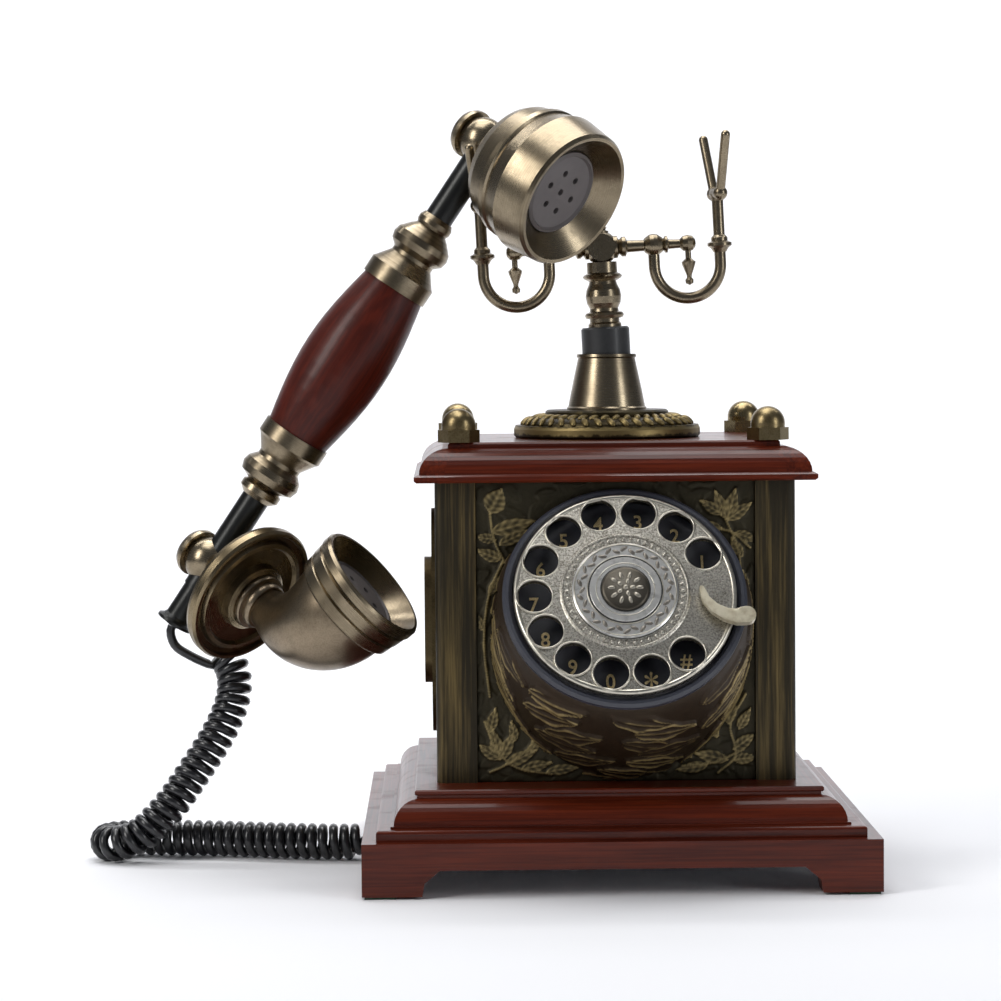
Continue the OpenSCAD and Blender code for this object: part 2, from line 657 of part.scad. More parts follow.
// Earpiece's own frame: +Z towards the ear, from the middle of the upper ball
module at_ear() {
    at_handset(high_s - 0.7) translate([-ball_back, 0, 0]) rotate([0, 90, 0]) children();
}
module ear_shell() {
    color("darkkhaki") difference() {
        at_ear() rotate_extrude() polygon(
            [[0, 4], [7, 4], [7, 12.4], [17.4, 14.2], [20.8, 15.8], [24, 18.6], [25.9, 22],
             [27.2, 28.6], [28.4, 29.4], [28.6, 31.8], [27.8, 32.6], [ear_r - 0.6, 38.4],
             [ear_r, 40.2], [ear_r - 0.2, 42.4], [28.6, 54], [27.6, 55.6], [26.2, 55.4],
             [17.9, 47.4], [17.9, 40], [25, 34], [23.4, 20], [0, 20]]);
        at_handset(high_s) translate([-ball_back, 0, 0]) sphere(ball_r);
        at_handset(high_s) translate([0, 0, -40]) cylinder(d = rod_d, h = 40);
    }
}
module ear_insert() {
    color("gray") at_ear() difference() {
        turned([[0, 44.6], [17.6, 44.6], [17.6, 48], [16.4, 48.8], [15.6, 47.6], [0, 47.6]]);
        cylinder(d = 2.8, h = 60);
        for (a = [0:60:300]) rotate([0, 0, a + 90]) translate([8.2, 0, 0]) cylinder(d = 2.8, h = 60);
    }
}
module receiver() {
    color("silver") at_ear() turned(
        [[0, 24], [12, 24], [12, 30], [17, 31], [17, 42.6], [14, 43.6], [0, 43.6]]);
}
module mouth_plate() {
    color("darkgoldenrod") at_handset(low_s) difference() {
        rotate([0, 90, 0]) turned(
            [[0, 4], [7, 4], [7, 19], [26, 20], [29.6, 21], [plate_r, 22.6], [plate_r, 25.4], [29.4, 26.6],
             [28.2, 26.6], [27.6, 25], [25.6, 24.6], [24.6, 26.6], [22.8, 26.8], [21.8, 25.2],
             [14.8, 25.2], [14.2, 28.4], [12.2, 29.4], [0, 29.4]]);
        translate([-ball_back, 0, 0]) sphere(ball_r);
        translate([0, 0, -30]) cylinder(d = rod_d, h = 60);
    }
}
// Gooseneck: a stepped collar, then a horn that swells round the bend towards the cup
module mouth_elbow() {
    color("darkkhaki") at_handset(low_s) union() {
        rotate([0, 90, 0]) turned(
            [[0, 29.4], [11.6, 29.4], [12, 30.6], [11.6, 32],
             [10, 32.4], [10.2, 34.4], [9.4, 35.6], [0, 35.6]]);
        elbow_horn();
    }
}
function elbow_path() = let (r = 28.6, x = 68 - r * sin(elbow_bend)) concat([[33, 0, 0]],
    [for (i = [0:7]) let (b = elbow_bend * i / 7) [x + r * sin(b), 0, r * (1 - cos(b))]]);
function elbow_turns() = concat([0], [for (i = [0:7]) elbow_bend * i / 7]);
elbow_radii = [7.6, 9.6, 12.4, 15, 17.2, 19, 20.4, 21.4, 22];
module elbow_horn() {
    path = elbow_path();
    turns = elbow_turns();
    n = len(path);
    sides = 40;
    points = [for (i = [0:n - 1]) let (b = turns[i]) for (k = [0:sides - 1]) let (a = 360 * k / sides)
        path[i] + elbow_radii[i] * [-sin(b) * cos(a), sin(a), cos(b) * cos(a)]];
    polyhedron(points, tube_faces(n, sides), convexity = 4);
}
module mouth_cup() {
    color("darkkhaki") at_handset() translate(mouth_at) rotate([0, mouth_tilt, 0]) rotate_extrude() polygon(
        [[0, -17], [22.4, -17], [24, -15.8], [24.4, -11.6], [23.6, -10.8], [24.8, -10.2], [25.2, -6],
         [24.4, -5.2], [mouth_r, -4.2], [mouth_r, -1.2], [25, 0], [23.8, 0], [17.4, -7.2],
         [17.4, -8.6], [0, -8.6]]);
}
module transmitter() {
    color("gray") at_handset() translate(mouth_at) rotate([0, mouth_tilt, 0]) difference() {
        turned([[0, -8.6], [17, -8.6], [17, -7.4], [15.8, -6.6], [15.2, -7.4], [0, -7.4]]);
        for (a = [0:60:300]) rotate([0, 0, a]) translate([8.2, 0, -9]) cylinder(d = 2.8, h = 4);
    }
}

// ---------------------------------------------------------------- cord

module cord_grommet() {
    color("#141414") at_handset() turned([[0, -1], [3.1, -1], [3.5, 0], [2.9, 0], [2.9, 6.8], [0, 6.8]]);
}
module cord_lead() { color("#141414") sweep(lead_route, lead_d / 2, 8); }
module cord_curl() { color("#141414") sweep(curl_route, curl_d / 2, 12); }
module cord_tail() { color("#141414") sweep(tail_route, lead_d / 2, 8); }
module cord_plug() {
    color("#2a2a2a") translate([-80, cord_y, cord_z]) union() {
        rotate([0, 90, 0]) cylinder(d = 6, h = 4);
        translate([4, -3.9, -3.3]) cube([13, 7.8, 6.6]);
        translate([4, -1.2, 3.3]) cube([3.6, 2.4, 1.2]);
    }
}
// Closed tube along a list of points; its rings face along the path
module sweep(path, r, sides) {
    n = len(path);
    points = [for (i = [0:n - 1]) let (f = ring_frame(path, i)) for (k = [0:sides - 1])
        let (a = 360 * k / sides) path[i] + r * (cos(a) * f[0] + sin(a) * f[1])];
    polyhedron(points, tube_faces(n, sides), convexity = 8);
}
function tube_faces(n, sides) = concat(
    [[for (k = [sides - 1:-1:0]) k]],
    [for (i = [0:n - 2], k = [0:sides - 1]) let (m = (k + 1) % sides)
        [i * sides + k, (i + 1) * sides + m, (i + 1) * sides + k]],
    [for (i = [0:n - 2], k = [0:sides - 1]) let (m = (k + 1) % sides)
        [i * sides + k, i * sides + m, (i + 1) * sides + m]],
    [[for (k = [0:sides - 1]) (n - 1) * sides + k]]);
function unit(v) = v / norm(v);
function ring_frame(path, i) =
    let (n = len(path), t = unit(path[min(i + 1, n - 1)] - path[max(i - 1, 0)]),
         side = unit(cross(t, [0, 1, -1])))
    [side, cross(side, t)];

// ---------------------------------------------------------------- parts

front_rail();
back_rail();
side_rails();
felt_pads();
base_cover();
cover_screws();
step_board();
cove_moulding();
case_board();
cord_jack();
corner_posts();
front_panel();
back_panel();
side_panels();
side_reliefs();
line_jack();
circuit_board();
ringer();
tie_rods();
lid_moulding();
lid_board();
acorn_nuts();
dial_housing();
bezel_ring();
number_plate();
finger_stop();
dial_frame();
pulse_contacts();
finger_wheel();
wheel_cap();
dial_shaft();
dial_spring();
governor();
lid_flange();
guide_cone();
plunger_collar();
plunger_rod();
plunger_guide();
plunger_spring();
hook_switch();
column();
cradle_arms();
cradle_hooks();
cradle_forks();
handset_rod();
handset_grip();
grip_ferrules();
rod_balls();
ear_shell();
ear_insert();
receiver();
mouth_plate();
mouth_elbow();
mouth_cup();
transmitter();
cord_grommet();
cord_lead();
cord_curl();
cord_tail();
cord_plug();
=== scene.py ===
import math
import random

import bmesh
import bpy
import numpy as np
from mathutils import Matrix, Vector


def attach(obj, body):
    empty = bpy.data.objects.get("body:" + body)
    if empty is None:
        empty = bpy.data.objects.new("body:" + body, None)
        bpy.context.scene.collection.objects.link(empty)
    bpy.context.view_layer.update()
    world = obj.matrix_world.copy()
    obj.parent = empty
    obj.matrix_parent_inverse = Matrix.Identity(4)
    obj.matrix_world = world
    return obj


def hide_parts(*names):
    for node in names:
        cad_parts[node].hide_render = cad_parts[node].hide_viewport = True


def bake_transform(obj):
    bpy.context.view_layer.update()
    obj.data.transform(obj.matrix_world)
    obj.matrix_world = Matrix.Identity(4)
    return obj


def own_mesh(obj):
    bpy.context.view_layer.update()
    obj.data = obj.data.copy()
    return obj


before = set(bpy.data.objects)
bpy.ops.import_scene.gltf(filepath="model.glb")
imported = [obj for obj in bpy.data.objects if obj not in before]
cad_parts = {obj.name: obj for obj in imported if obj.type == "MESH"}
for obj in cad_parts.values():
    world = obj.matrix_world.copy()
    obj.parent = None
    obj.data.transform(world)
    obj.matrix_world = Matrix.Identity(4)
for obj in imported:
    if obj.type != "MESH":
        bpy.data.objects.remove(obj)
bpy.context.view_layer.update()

MM = 0.001

# ------------------------------------------------------------------ camera
# A long lens stands a little to the left of the dial and looks slightly down
# on the telephone, square to the case's front.
camera_at = Vector((-65.0, -1271.5, 214.2)) * MM
yaw, pitch, roll = (math.radians(a) for a in (0.943, -3.011, -0.480))
forward = Vector((math.sin(yaw) * math.cos(pitch), math.cos(yaw) * math.cos(pitch), math.sin(pitch)))
level = Vector((math.cos(yaw), -math.sin(yaw), 0))
upright = level.cross(forward)
right = level * math.cos(roll) + upright * math.sin(roll)
above = upright * math.cos(roll) - level * math.sin(roll)
lens = bpy.data.cameras.new("camera")
lens.lens, lens.sensor_width, lens.clip_end = 111.08, 36, 30
camera = bpy.data.objects.new("camera", lens)
camera.matrix_world = Matrix.Translation(camera_at) @ Matrix((right, above, -forward)).transposed().to_4x4()
bpy.context.scene.collection.objects.link(camera)
bpy.context.scene.camera = camera


# ------------------------------------------------------------------ handset cord
# Curly cord of glossy black vinyl: a short straight lead out of the handset's rod,
# one long coil that hangs, lies on the table and runs under the plinth, and a tail
# to the plug. The wire is one length, wound on a rod when it was made.
WIRE_D, COIL_R, COIL_PITCH, COIL_STEPS = 3.8 * MM, 5.6 * MM, 4.45 * MM, 14
CORD_Z = 7.6
lead_route = [(-180.6, 7.5, 96.2), (-181.3, 7.5, 94), (-181, 7.5, 91.4), (-180, 8, 88.6),
              (-178, 8, 86.4), (-173.5, 9, 83.5), (-169, 10.5, 81), (-164.5, 12, 79)]
curl_route = [(-161, 14, 83.5), (-157.5, 13, 80), (-155.5, 11, 74.5), (-155.5, 8, 67), (-158, 5, 59),
              (-162, 2, 51), (-167, -1, 43), (-172.5, -4, 35), (-178.5, -7, 26.5), (-185, -9, 19),
              (-192, -10, 12.5), (-199, -9.5, 9), (-205, -6.5, CORD_Z), (-208, 0, CORD_Z),
              (-205, 6, CORD_Z), (-199, 9, CORD_Z), (-190, 9, CORD_Z), (-175, 7, CORD_Z),
              (-160, 4, CORD_Z), (-145, 0, CORD_Z), (-130, -4, CORD_Z), (-115, -7, CORD_Z),
              (-101.5, -8, CORD_Z)]
tail_route = [(-101.5, -8, CORD_Z), (-90, -8, CORD_Z), (-80, -8, CORD_Z)]


def smooth_route(route, step):
    """The route's points in metres, joined by a smooth curve and spaced evenly."""
    points = np.array(route, float) * MM
    ends = np.vstack([2 * points[0] - points[1], points, 2 * points[-1] - points[-2]])
    t = np.linspace(0, 1, 24, endpoint=False)[:, None]
    fine = [0.5 * (2 * b + (c - a) * t + (2 * a - 5 * b + 4 * c - d) * t**2 + (3 * b - a - 3 * c + d) * t**3)
            for a, b, c, d in zip(ends, ends[1:], ends[2:], ends[3:])]
    fine = np.vstack(fine + [points[-1:]])
    along = np.concatenate([[0], np.cumsum(np.linalg.norm(np.diff(fine, axis=0), axis=1))])
    at = np.linspace(0, along[-1], max(3, round(along[-1] / step) + 1))
    return np.stack([np.interp(at, along, fine[:, k]) for k in range(3)], axis=1)


def wound(line):
    """A helix around a line, opening from nothing and closing to nothing at its ends."""
    length = np.linalg.norm(np.diff(line, axis=0), axis=1).sum()
    turns = round(length / COIL_PITCH)
    tangent = np.gradient(line, axis=0)
    tangent /= np.linalg.norm(tangent, axis=1)[:, None]
    side, sides = np.cross(tangent[0], (0, 0, 1.0)), []
    for t in tangent:
        side = side - t * (side @ t)
        side /= np.linalg.norm(side)
        sides.append(side)
    sides = np.array(sides)
    share = np.linspace(0, 1, turns * COIL_STEPS + 1)
    at = np.linspace(0, 1, len(line))
    middle, out, ahead = (np.stack([np.interp(share, at, a[:, k]) for k in range(3)], axis=1)
                          for a in (line, sides, tangent))
    angle = (2 * math.pi * turns * share)[:, None]
    radius = COIL_R * np.clip(np.minimum(share, 1 - share) * turns / 0.6, 0.15, 1)[:, None]
    return middle + radius * (out * np.cos(angle) + np.cross(ahead, out) * np.sin(angle))


def tube(name, points, diameter):
    """A closed round tube that follows the points, as a mesh."""
    curve = bpy.data.curves.new(name, "CURVE")
    curve.dimensions, curve.bevel_depth, curve.bevel_resolution = "3D", diameter / 2, 3
    curve.use_fill_caps = True
    spline = curve.splines.new("POLY")
    spline.points.add(len(points) - 1)
    spline.points.foreach_set("co", np.hstack([points, np.ones((len(points), 1))]).ravel())
    drawn = bpy.data.objects.new(name, curve)
    mesh = bpy.data.meshes.new_from_object(drawn)
    bpy.data.objects.remove(drawn)
    piece = bpy.data.objects.new(name, mesh)
    bpy.context.scene.collection.objects.link(piece)
    mesh.shade_smooth()
    return piece


cord_path = np.vstack([smooth_route(lead_route, 2 * MM), wound(smooth_route(curl_route, 1.5 * MM)),
                       smooth_route(tail_route, 3 * MM)[1:]])
handset_cord = tube("handset_cord", cord_path, WIRE_D)
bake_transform(handset_cord)
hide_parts("cord_lead", "cord_curl", "cord_tail")


# ------------------------------------------------------------------ studio
# A pale sheet swept from the table up behind the telephone, a tall soft light on the
# left, a weaker one on the right, one overhead and one on the sheet, in a dim room.
def link(name, data):
    piece = bpy.data.objects.new(name, data)
    bpy.context.scene.collection.objects.link(piece)
    return piece


def flat_paint(name, color, roughness):
    paint = bpy.data.materials.new(name)
    paint.use_nodes = True
    shader = paint.node_tree.nodes["Principled BSDF"]
    shader.inputs["Base Color"].default_value = (*color, 1)
    shader.inputs["Roughness"].default_value = roughness
    return paint


sheet = bmesh.new()
sweep = [(-1.0, 0.0), (1.6, 0.0)] + [(1.6 + 1.2 * math.sin(a), 1.2 - 1.2 * math.cos(a))
                                     for a in np.linspace(0, math.pi / 2, 13)[1:]] + [(2.8, 4.0)]
line = [sheet.verts.new((-4, y, z)) for y, z in sweep]
edges = [sheet.edges.new(pair) for pair in zip(line, line[1:])]
swept = bmesh.ops.extrude_edge_only(sheet, edges=edges)["geom"]
bmesh.ops.translate(sheet, vec=(8, 0, 0), verts=[g for g in swept if isinstance(g, bmesh.types.BMVert)])
bmesh.ops.recalc_face_normals(sheet, faces=sheet.faces)
backdrop_mesh = bpy.data.meshes.new("backdrop")
sheet.to_mesh(backdrop_mesh)
backdrop = link("backdrop", backdrop_mesh)
backdrop_mesh.shade_smooth()
backdrop.data.materials.append(flat_paint("pale_paper", (0.90, 0.905, 0.93), 0.85))


def soft_light(name, at, aim, size, power, color=(1, 1, 1)):
    lamp = bpy.data.lights.new(name, "AREA")
    lamp.shape, lamp.size, lamp.size_y, lamp.energy, lamp.color = "RECTANGLE", *size, power, color
    lamp_object = link(name, lamp)
    toward = (Vector(aim) - Vector(at)).to_track_quat("-Z", "Y")
    lamp_object.matrix_world = Matrix.Translation(at) @ toward.to_matrix().to_4x4()


soft_light("key", (-1.3, -0.9, 1.0), (0, 0, 0.15), (0.5, 1.0), 13, (1, 0.985, 0.96))
soft_light("fill", (1.3, -1.1, 0.55), (0, 0, 0.15), (0.3, 0.9), 6, (0.96, 0.98, 1))
soft_light("overhead", (-0.1, 0.05, 1.5), (0, 0, 0.1), (1.1, 0.8), 12)
soft_light("backdrop_light", (0, 0.95, 2.1), (0, 2.4, 0.6), (3.2, 0.8), 60)
room = bpy.data.worlds.new("room")
room.use_nodes = True
room.node_tree.nodes["Background"].inputs["Color"].default_value = (0.82, 0.88, 1.0, 1)
room.node_tree.nodes["Background"].inputs["Strength"].default_value = 0.13
bpy.context.scene.world = room
bpy.context.scene.view_settings.view_transform = "Standard"

# ------------------------------------------------------------------ finishes
# Every finish below is worked out over the surface itself, in metres, so its grain,
# brushing or wear has one size on every piece.
class Signal:
    """A value inside a finish's shader; the usual operators add the Math nodes for it."""

    def __init__(self, finish, socket):
        self.finish, self.socket = finish, socket

    def maths(self, operation, *values):
        return self.finish.node("Math", {"operation": operation}, dict(enumerate(values)))

    def __add__(self, other): return self.maths("ADD", self, other)
    def __sub__(self, other): return self.maths("SUBTRACT", self, other)
    def __rsub__(self, other): return self.maths("SUBTRACT", other, self)
    def __mul__(self, other): return self.maths("MULTIPLY", self, other)
    __radd__, __rmul__ = __add__, __mul__

    def between(self, low, high):
        """0 below low, 1 above high, and a soft step from one to the other."""
        return self.finish.node("MapRange", {"interpolation_type": "SMOOTHSTEP"},
                                {0: self, 1: low, 2: high, 3: 0.0, 4: 1.0})


class Finish:
    """A material on the Principled shader, built up node by node."""

    def __init__(self, name, **constants):
        self.material = bpy.data.materials.new(name)
        self.material.use_nodes = True
        self.tree = self.material.node_tree
        self.shader = self.tree.nodes["Principled BSDF"]
        for socket, value in constants.items():
            self.feed(self.shader.inputs[socket.replace("_", " ")], value)
        self.place = self.node("TexCoord", out="Object")

    def feed(self, socket, value):
        if isinstance(value, Signal):
            self.tree.links.new(value.socket, socket)
        elif isinstance(value, (tuple, list, Vector)):
            socket.default_value = (*value, 1) if socket.type == "RGBA" else tuple(value)
        else:
            socket.default_value = value

    def node(self, kind, settings=None, sockets=None, out=0):
        made = self.tree.nodes.new("ShaderNode" + kind)
        for key, value in (settings or {}).items():
            setattr(made, key, value)
        for key, value in (sockets or {}).items():
            self.feed(made.inputs[key], value)
        return Signal(self, made.outputs[out])

    def stretched(self, scale, turn=(0, 0, 0), at=(0, 0, 0)):
        return self.node("Mapping", None, {"Vector": self.place, "Scale": scale, "Rotation": turn,
                                           "Location": at})

    def noise(self, scale, stretch=(1, 1, 1), detail=3.0, roughness=0.55):
        return self.node("TexNoise", None, {"Vector": self.stretched(stretch), "Scale": scale,
                                            "Detail": detail, "Roughness": roughness})

    def cells(self, scale):
        return self.node("TexVoronoi", None, {"Vector": self.place, "Scale": scale})

    def axes(self):
        split = self.node("SeparateXYZ", None, {0: self.place})
        nodes = split.socket.node.outputs
        return [Signal(self, nodes[k]) for k in range(3)]

    def along(self, direction, centre):
        """How far a point lies along an axis, in metres."""
        moved = self.node("VectorMath", {"operation": "SUBTRACT"}, {0: self.place, 1: centre})
        return self.node("VectorMath", {"operation": "DOT_PRODUCT"}, {0: moved, 1: direction}, out="Value")

    def off_axis(self, direction, centre):
        """How far a point lies from an axis, in metres."""
        moved = self.node("VectorMath", {"operation": "SUBTRACT"}, {0: self.place, 1: centre})
        crossed = self.node("VectorMath", {"operation": "CROSS_PRODUCT"}, {0: moved, 1: direction})
        return self.node("VectorMath", {"operation": "LENGTH"}, {0: crossed}, out="Value")

    def blend(self, share, first, second):
        return self.node("Mix", {"data_type": "RGBA"}, {0: share, 6: first, 7: second}, out=2)

    def raised(self):
        return self.node("Attribute", {"attribute_name": "raised"}, out="Fac")

    def surface(self, color, roughness, bump=None, depth=0.0001, strength=1.0, metallic=None):
        self.feed(self.shader.inputs["Base Color"], color)
        self.feed(self.shader.inputs["Roughness"], roughness)
        if metallic is not None:
            self.feed(self.shader.inputs["Metallic"], metallic)
        if bump is not None:
            lifted = self.node("Bump", None, {"Strength": strength, "Distance": depth, "Height": bump})
            self.feed(self.shader.inputs["Normal"], lifted)
        return self.material


def dress(material, *names):
    """Gives CAD nodes their finish."""
    for name in names:
        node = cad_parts[name]
        if not node.material_slots:
            node.data.materials.append(material)
        for slot in node.material_slots:
            slot.material = material


def black_vinyl(name, roughness, coat):
    f = Finish(name, Coat_Weight=coat, Coat_Roughness=0.12)
    mottled = f.noise(260, detail=2.0)
    return f.surface(f.blend(mottled, (0.005, 0.005, 0.006), (0.012, 0.012, 0.014)),
                     mottled * 0.12 + roughness, f.noise(2600), 0.00002, 0.5)


cord_vinyl = black_vinyl("cord_vinyl", 0.26, 0.25)
handset_cord.data.materials.append(cord_vinyl)
dress(black_vinyl("moulded_black", 0.38, 0.1), "cord_plug", "cord_grommet", "cord_jack", "line_jack")


# ------------------------------------------------------------------ plinth and lid
# Solid mahogany mouldings with mitred corners, stained dark red and lacquered to a
# hard gloss. The grain of each side runs along it and meets at the mitre.
def lacquered_wood(name, dark, light, mitred=True):
    f = Finish(name, Coat_Weight=0.30, Coat_Roughness=0.10, Coat_IOR=1.4,
               Specular_IOR_Level=0.18)
    x, y, z = f.axes()
    fine_x, fine_y = (f.noise(1.0, (22, 900, 900), 5.0, 0.62), f.noise(1.0, (900, 22, 900), 5.0, 0.62))
    broad_x, broad_y = (f.noise(1.0, (7, 110, 110), 3.0), f.noise(1.0, (110, 7, 110), 3.0))
    side = (x * x - y * y).between(-0.00002, 0.00002) if mitred else 0.0 * x
    fine = fine_x + (fine_y - fine_x) * side
    broad = broad_x + (broad_y - broad_x) * side
    grain = fine.between(0.36, 0.66) * 0.6 + broad.between(0.3, 0.7) * 0.4
    worn = f.noise(60, detail=4.0).between(0.5, 0.75)
    return f.surface(f.blend(grain, dark, light), worn * 0.1 + 0.32, fine, 0.00003, 0.3)


mahogany = lacquered_wood("mahogany_lacquer", (0.042, 0.0050, 0.0018), (0.125, 0.0180, 0.0052))
dress(mahogany, "front_rail", "back_rail", "side_rails", "step_board", "cove_moulding", "case_board",
      "lid_moulding", "lid_board")


def felt():
    f = Finish("green_felt", Sheen_Weight=0.4)
    fibres = f.noise(1800, detail=4.0)
    return f.surface(f.blend(fibres, (0.012, 0.03, 0.016), (0.04, 0.08, 0.05)), 0.95, fibres, 0.0002, 0.8)


dress(felt(), "felt_pads")


# ------------------------------------------------------------------ hidden works
# Zinc-plated steel, bare brass and a soldered board inside the case; they are seen
# only through the bottom or when the case is opened.
def plated(name, color, roughness):
    f = Finish(name, Metallic=1.0)
    spots = f.noise(420, detail=4.0)
    pale = tuple(c * 1.25 for c in color)
    return f.surface(f.blend(spots, color, pale), spots * 0.15 + roughness, f.noise(3000), 0.00001, 0.4)


zinc = plated("zinc_plate", (0.42, 0.42, 0.43), 0.34)
dress(zinc, "cover_screws", "tie_rods", "plunger_rod", "plunger_guide", "dial_frame",
      "dial_shaft", "dial_spring", "base_cover", "receiver")
dress(plated("bare_brass", (0.50, 0.37, 0.17), 0.3), "pulse_contacts", "governor", "ringer", "hook_switch")


def solder_mask():
    f = Finish("green_board")
    tracks = f.noise(500, (1, 3, 1), 1.0).between(0.48, 0.52)
    return f.surface(f.blend(tracks, (0.01, 0.09, 0.03), (0.02, 0.16, 0.06)), 0.45, tracks, 0.00003, 0.5)


dress(solder_mask(), "circuit_board")


# ------------------------------------------------------------------ case
# Posts and panels of cast resin painted dark bronze. Gold was dragged down the posts
# with a dry brush and wiped over the high spots of the leaves.
def dry_brushed(name):
    f = Finish(name, Metallic=0.55)
    streaks = f.noise(1.0, (620, 620, 16), 5.0, 0.7)
    broad = f.noise(1.0, (150, 150, 9), 3.0)
    rubbed = (streaks * 0.6 + broad * 0.5).between(0.50, 0.80)
    dark = f.blend(broad, (0.014, 0.011, 0.005), (0.036, 0.026, 0.010))
    return f.surface(f.blend(rubbed, dark, (0.200, 0.140, 0.050)), rubbed * -0.1 + 0.5, streaks, 0.00025, 0.8)


bronze_paint = dry_brushed("dry_brushed_bronze")
dress(bronze_paint, "corner_posts", "front_panel", "back_panel", "side_panels")


def rubbed_relief(name, dark, gold, low, high):
    f = Finish(name, Metallic=0.6)
    height, cloud = f.raised(), f.noise(240, detail=5.0)
    wear = (height + (cloud - 0.5) * 0.5).between(low, high)
    pits = f.noise(1500, detail=3.0)
    ground = f.blend(cloud, dark, tuple(c * 2.0 for c in dark))
    return f.surface(f.blend(wear, ground, gold), 0.52 - wear * 0.16, pits, 0.00012, 0.6)


gold_leaves = rubbed_relief("rubbed_gold_leaves", (0.020, 0.016, 0.007), (0.46, 0.35, 0.15), 0.60, 1.40)


def leaf(u, v, at, angle, length, width, lift):
    """Height over flat points (u, v) of one pointed, veined leaf, in millimetres."""
    c, s = math.cos(math.radians(angle)), math.sin(math.radians(angle))
    a = ((u - at[0]) * c + (v - at[1]) * s) / length
    b = ((v - at[1]) * c - (u - at[0]) * s) / (width / 2)
    inside = (a > 0) & (a < 1)
    reach = np.where(inside, np.sin(math.pi * np.clip(a, 0, 1) ** 0.75), 0) + 1e-6
    t = np.clip(np.abs(b) / reach, 0, 1)
    body = (1 - t**6) * (0.42 + 0.58 * t**2)
    vein = 0.45 * np.exp(-(b / 0.16) ** 2) + 0.10 * np.cos(2 * math.pi * (a * 5 - t * 0.9))
    return np.where(inside, lift * body * (0.80 + vein), 0)


def stem(u, v, points, radius, lift):
    """Height over flat points of a round stem that follows points."""
    line = smooth_route([(*p, 0) for p in points], 1 * MM)[:, :2] / MM
    near = np.full(u.shape, 1e9)
    for p in line:
        near = np.minimum(near, (u - p[0]) ** 2 + (v - p[1]) ** 2)
    return lift * np.sqrt(np.clip(1 - near / radius**2, 0, 1))


def finished(name, mesh, material, body):
    """Makes a finished mesh a piece of the telephone."""
    piece = link(name, mesh)
    mesh.materials.append(material)
    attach(piece, body)
    return piece


def mesh_of(name, bm, place=None, smooth=True):
    if place is not None:
        bmesh.ops.transform(bm, matrix=place, verts=bm.verts)
    mesh = bpy.data.meshes.new(name)
    bm.to_mesh(mesh)
    bm.free()
    if smooth:
        mesh.shade_smooth()
    return mesh


def backed(piece, thickness):
    """Gives a relief skin its thickness, away from its face."""
    shell = piece.modifiers.new("back", "SOLIDIFY")
    shell.thickness, shell.offset = thickness, -1
    return piece


def relief_sheet(name, size, steps, height, place, skin=0.12):
    """A flat sheet in metres, lifted by height(u, v) in millimetres and put in place."""
    bm = bmesh.new()
    bmesh.ops.create_grid(bm, x_segments=steps[0], y_segments=steps[1], size=0.5)
    bmesh.ops.scale(bm, vec=(size[0] * MM, size[1] * MM, 1), verts=bm.verts)
    flat = np.array([v.co for v in bm.verts]) / MM
    lift = height(flat[:, 0], flat[:, 1])
    for vert, h in zip(bm.verts, lift):
        vert.co.z = (h + skin) * MM
    mesh = mesh_of(name, bm, place)
    mesh.attributes.new("raised", "FLOAT", "POINT").data.foreach_set("value", lift.astype(np.float32))
    return mesh


CASE_Z, CASE_H, PANEL_W, PANEL_Y = 39.1, 118.7, 110.0, -59.5
panel_leaves = [
    (-49.6, 106.5, 62, 10, 8), (-49, 99, 14, 17, 5.6), (-46, 94, 24, 13, 4.4), (-47, 96, 172, 7.5, 4),
    (-45, 88, 158, 10, 4.6), (-50, 74, 60, 8, 3.4), (-52, 60, 118, 8, 3.4),
    (-46, 9, 62, 11, 4.6), (-46, 9, 104, 12, 4.8), (-46, 9, 146, 10, 4.4), (-44, 7, 24, 13, 4.6),
    (-38, 5, 12, 12, 4.2), (-34, 12, 58, 11, 4), (-40, 16, 100, 8, 3.6), (-50, 20, 76, 9, 4.2),
    (-28, 4, 8, 13, 3.8),
    (44, 103, 34, 11, 4.6), (44, 103, 74, 12, 5), (44, 103, 112, 12, 4.6), (42, 105, 146, 10, 4.2),
    (42, 100, 182, 11, 5), (47, 98, -20, 9, 4), (50, 88, 120, 9, 4), (51, 74, 96, 9, 3.6),
    (44, 22, 84, 11, 5.4), (40, 17, 128, 11, 5), (46, 12, 36, 10, 4.6), (46, 8, 6, 9, 4.2),
    (44, 8, 168, 13, 5), (36, 6, 188, 12, 4.2), (48, 20, 60, 9, 4), (30, 9, 150, 10, 3.8)]
panel_stems = [
    [(-38, 80), (-44, 88), (-48, 97), (-49.5, 108)], [(-50, 34), (-52, 55), (-50, 74), (-44, 88)],
    [(-52, 24), (-48, 14), (-40, 6), (-26, 3)], [(-36, 26), (-33, 16), (-42, 8), (-50, 4)],
    [(52, 60), (50, 76), (48, 92), (43, 104)], [(53, 92), (46, 98), (38, 100)],
    [(51, 34), (45, 22), (47, 10), (40, 3)], [(50, 12), (38, 7), (26, 6)]]


random.seed(11)
low_leaves = [(random.uniform(-54, 54), random.uniform(0, 118), random.uniform(0, 360), random.uniform(8, 14),
               random.uniform(3.6, 5.6)) for _ in range(330)]
low_leaves = [low for low in low_leaves if math.hypot(low[0] - 2, low[1] - 62) > 50]


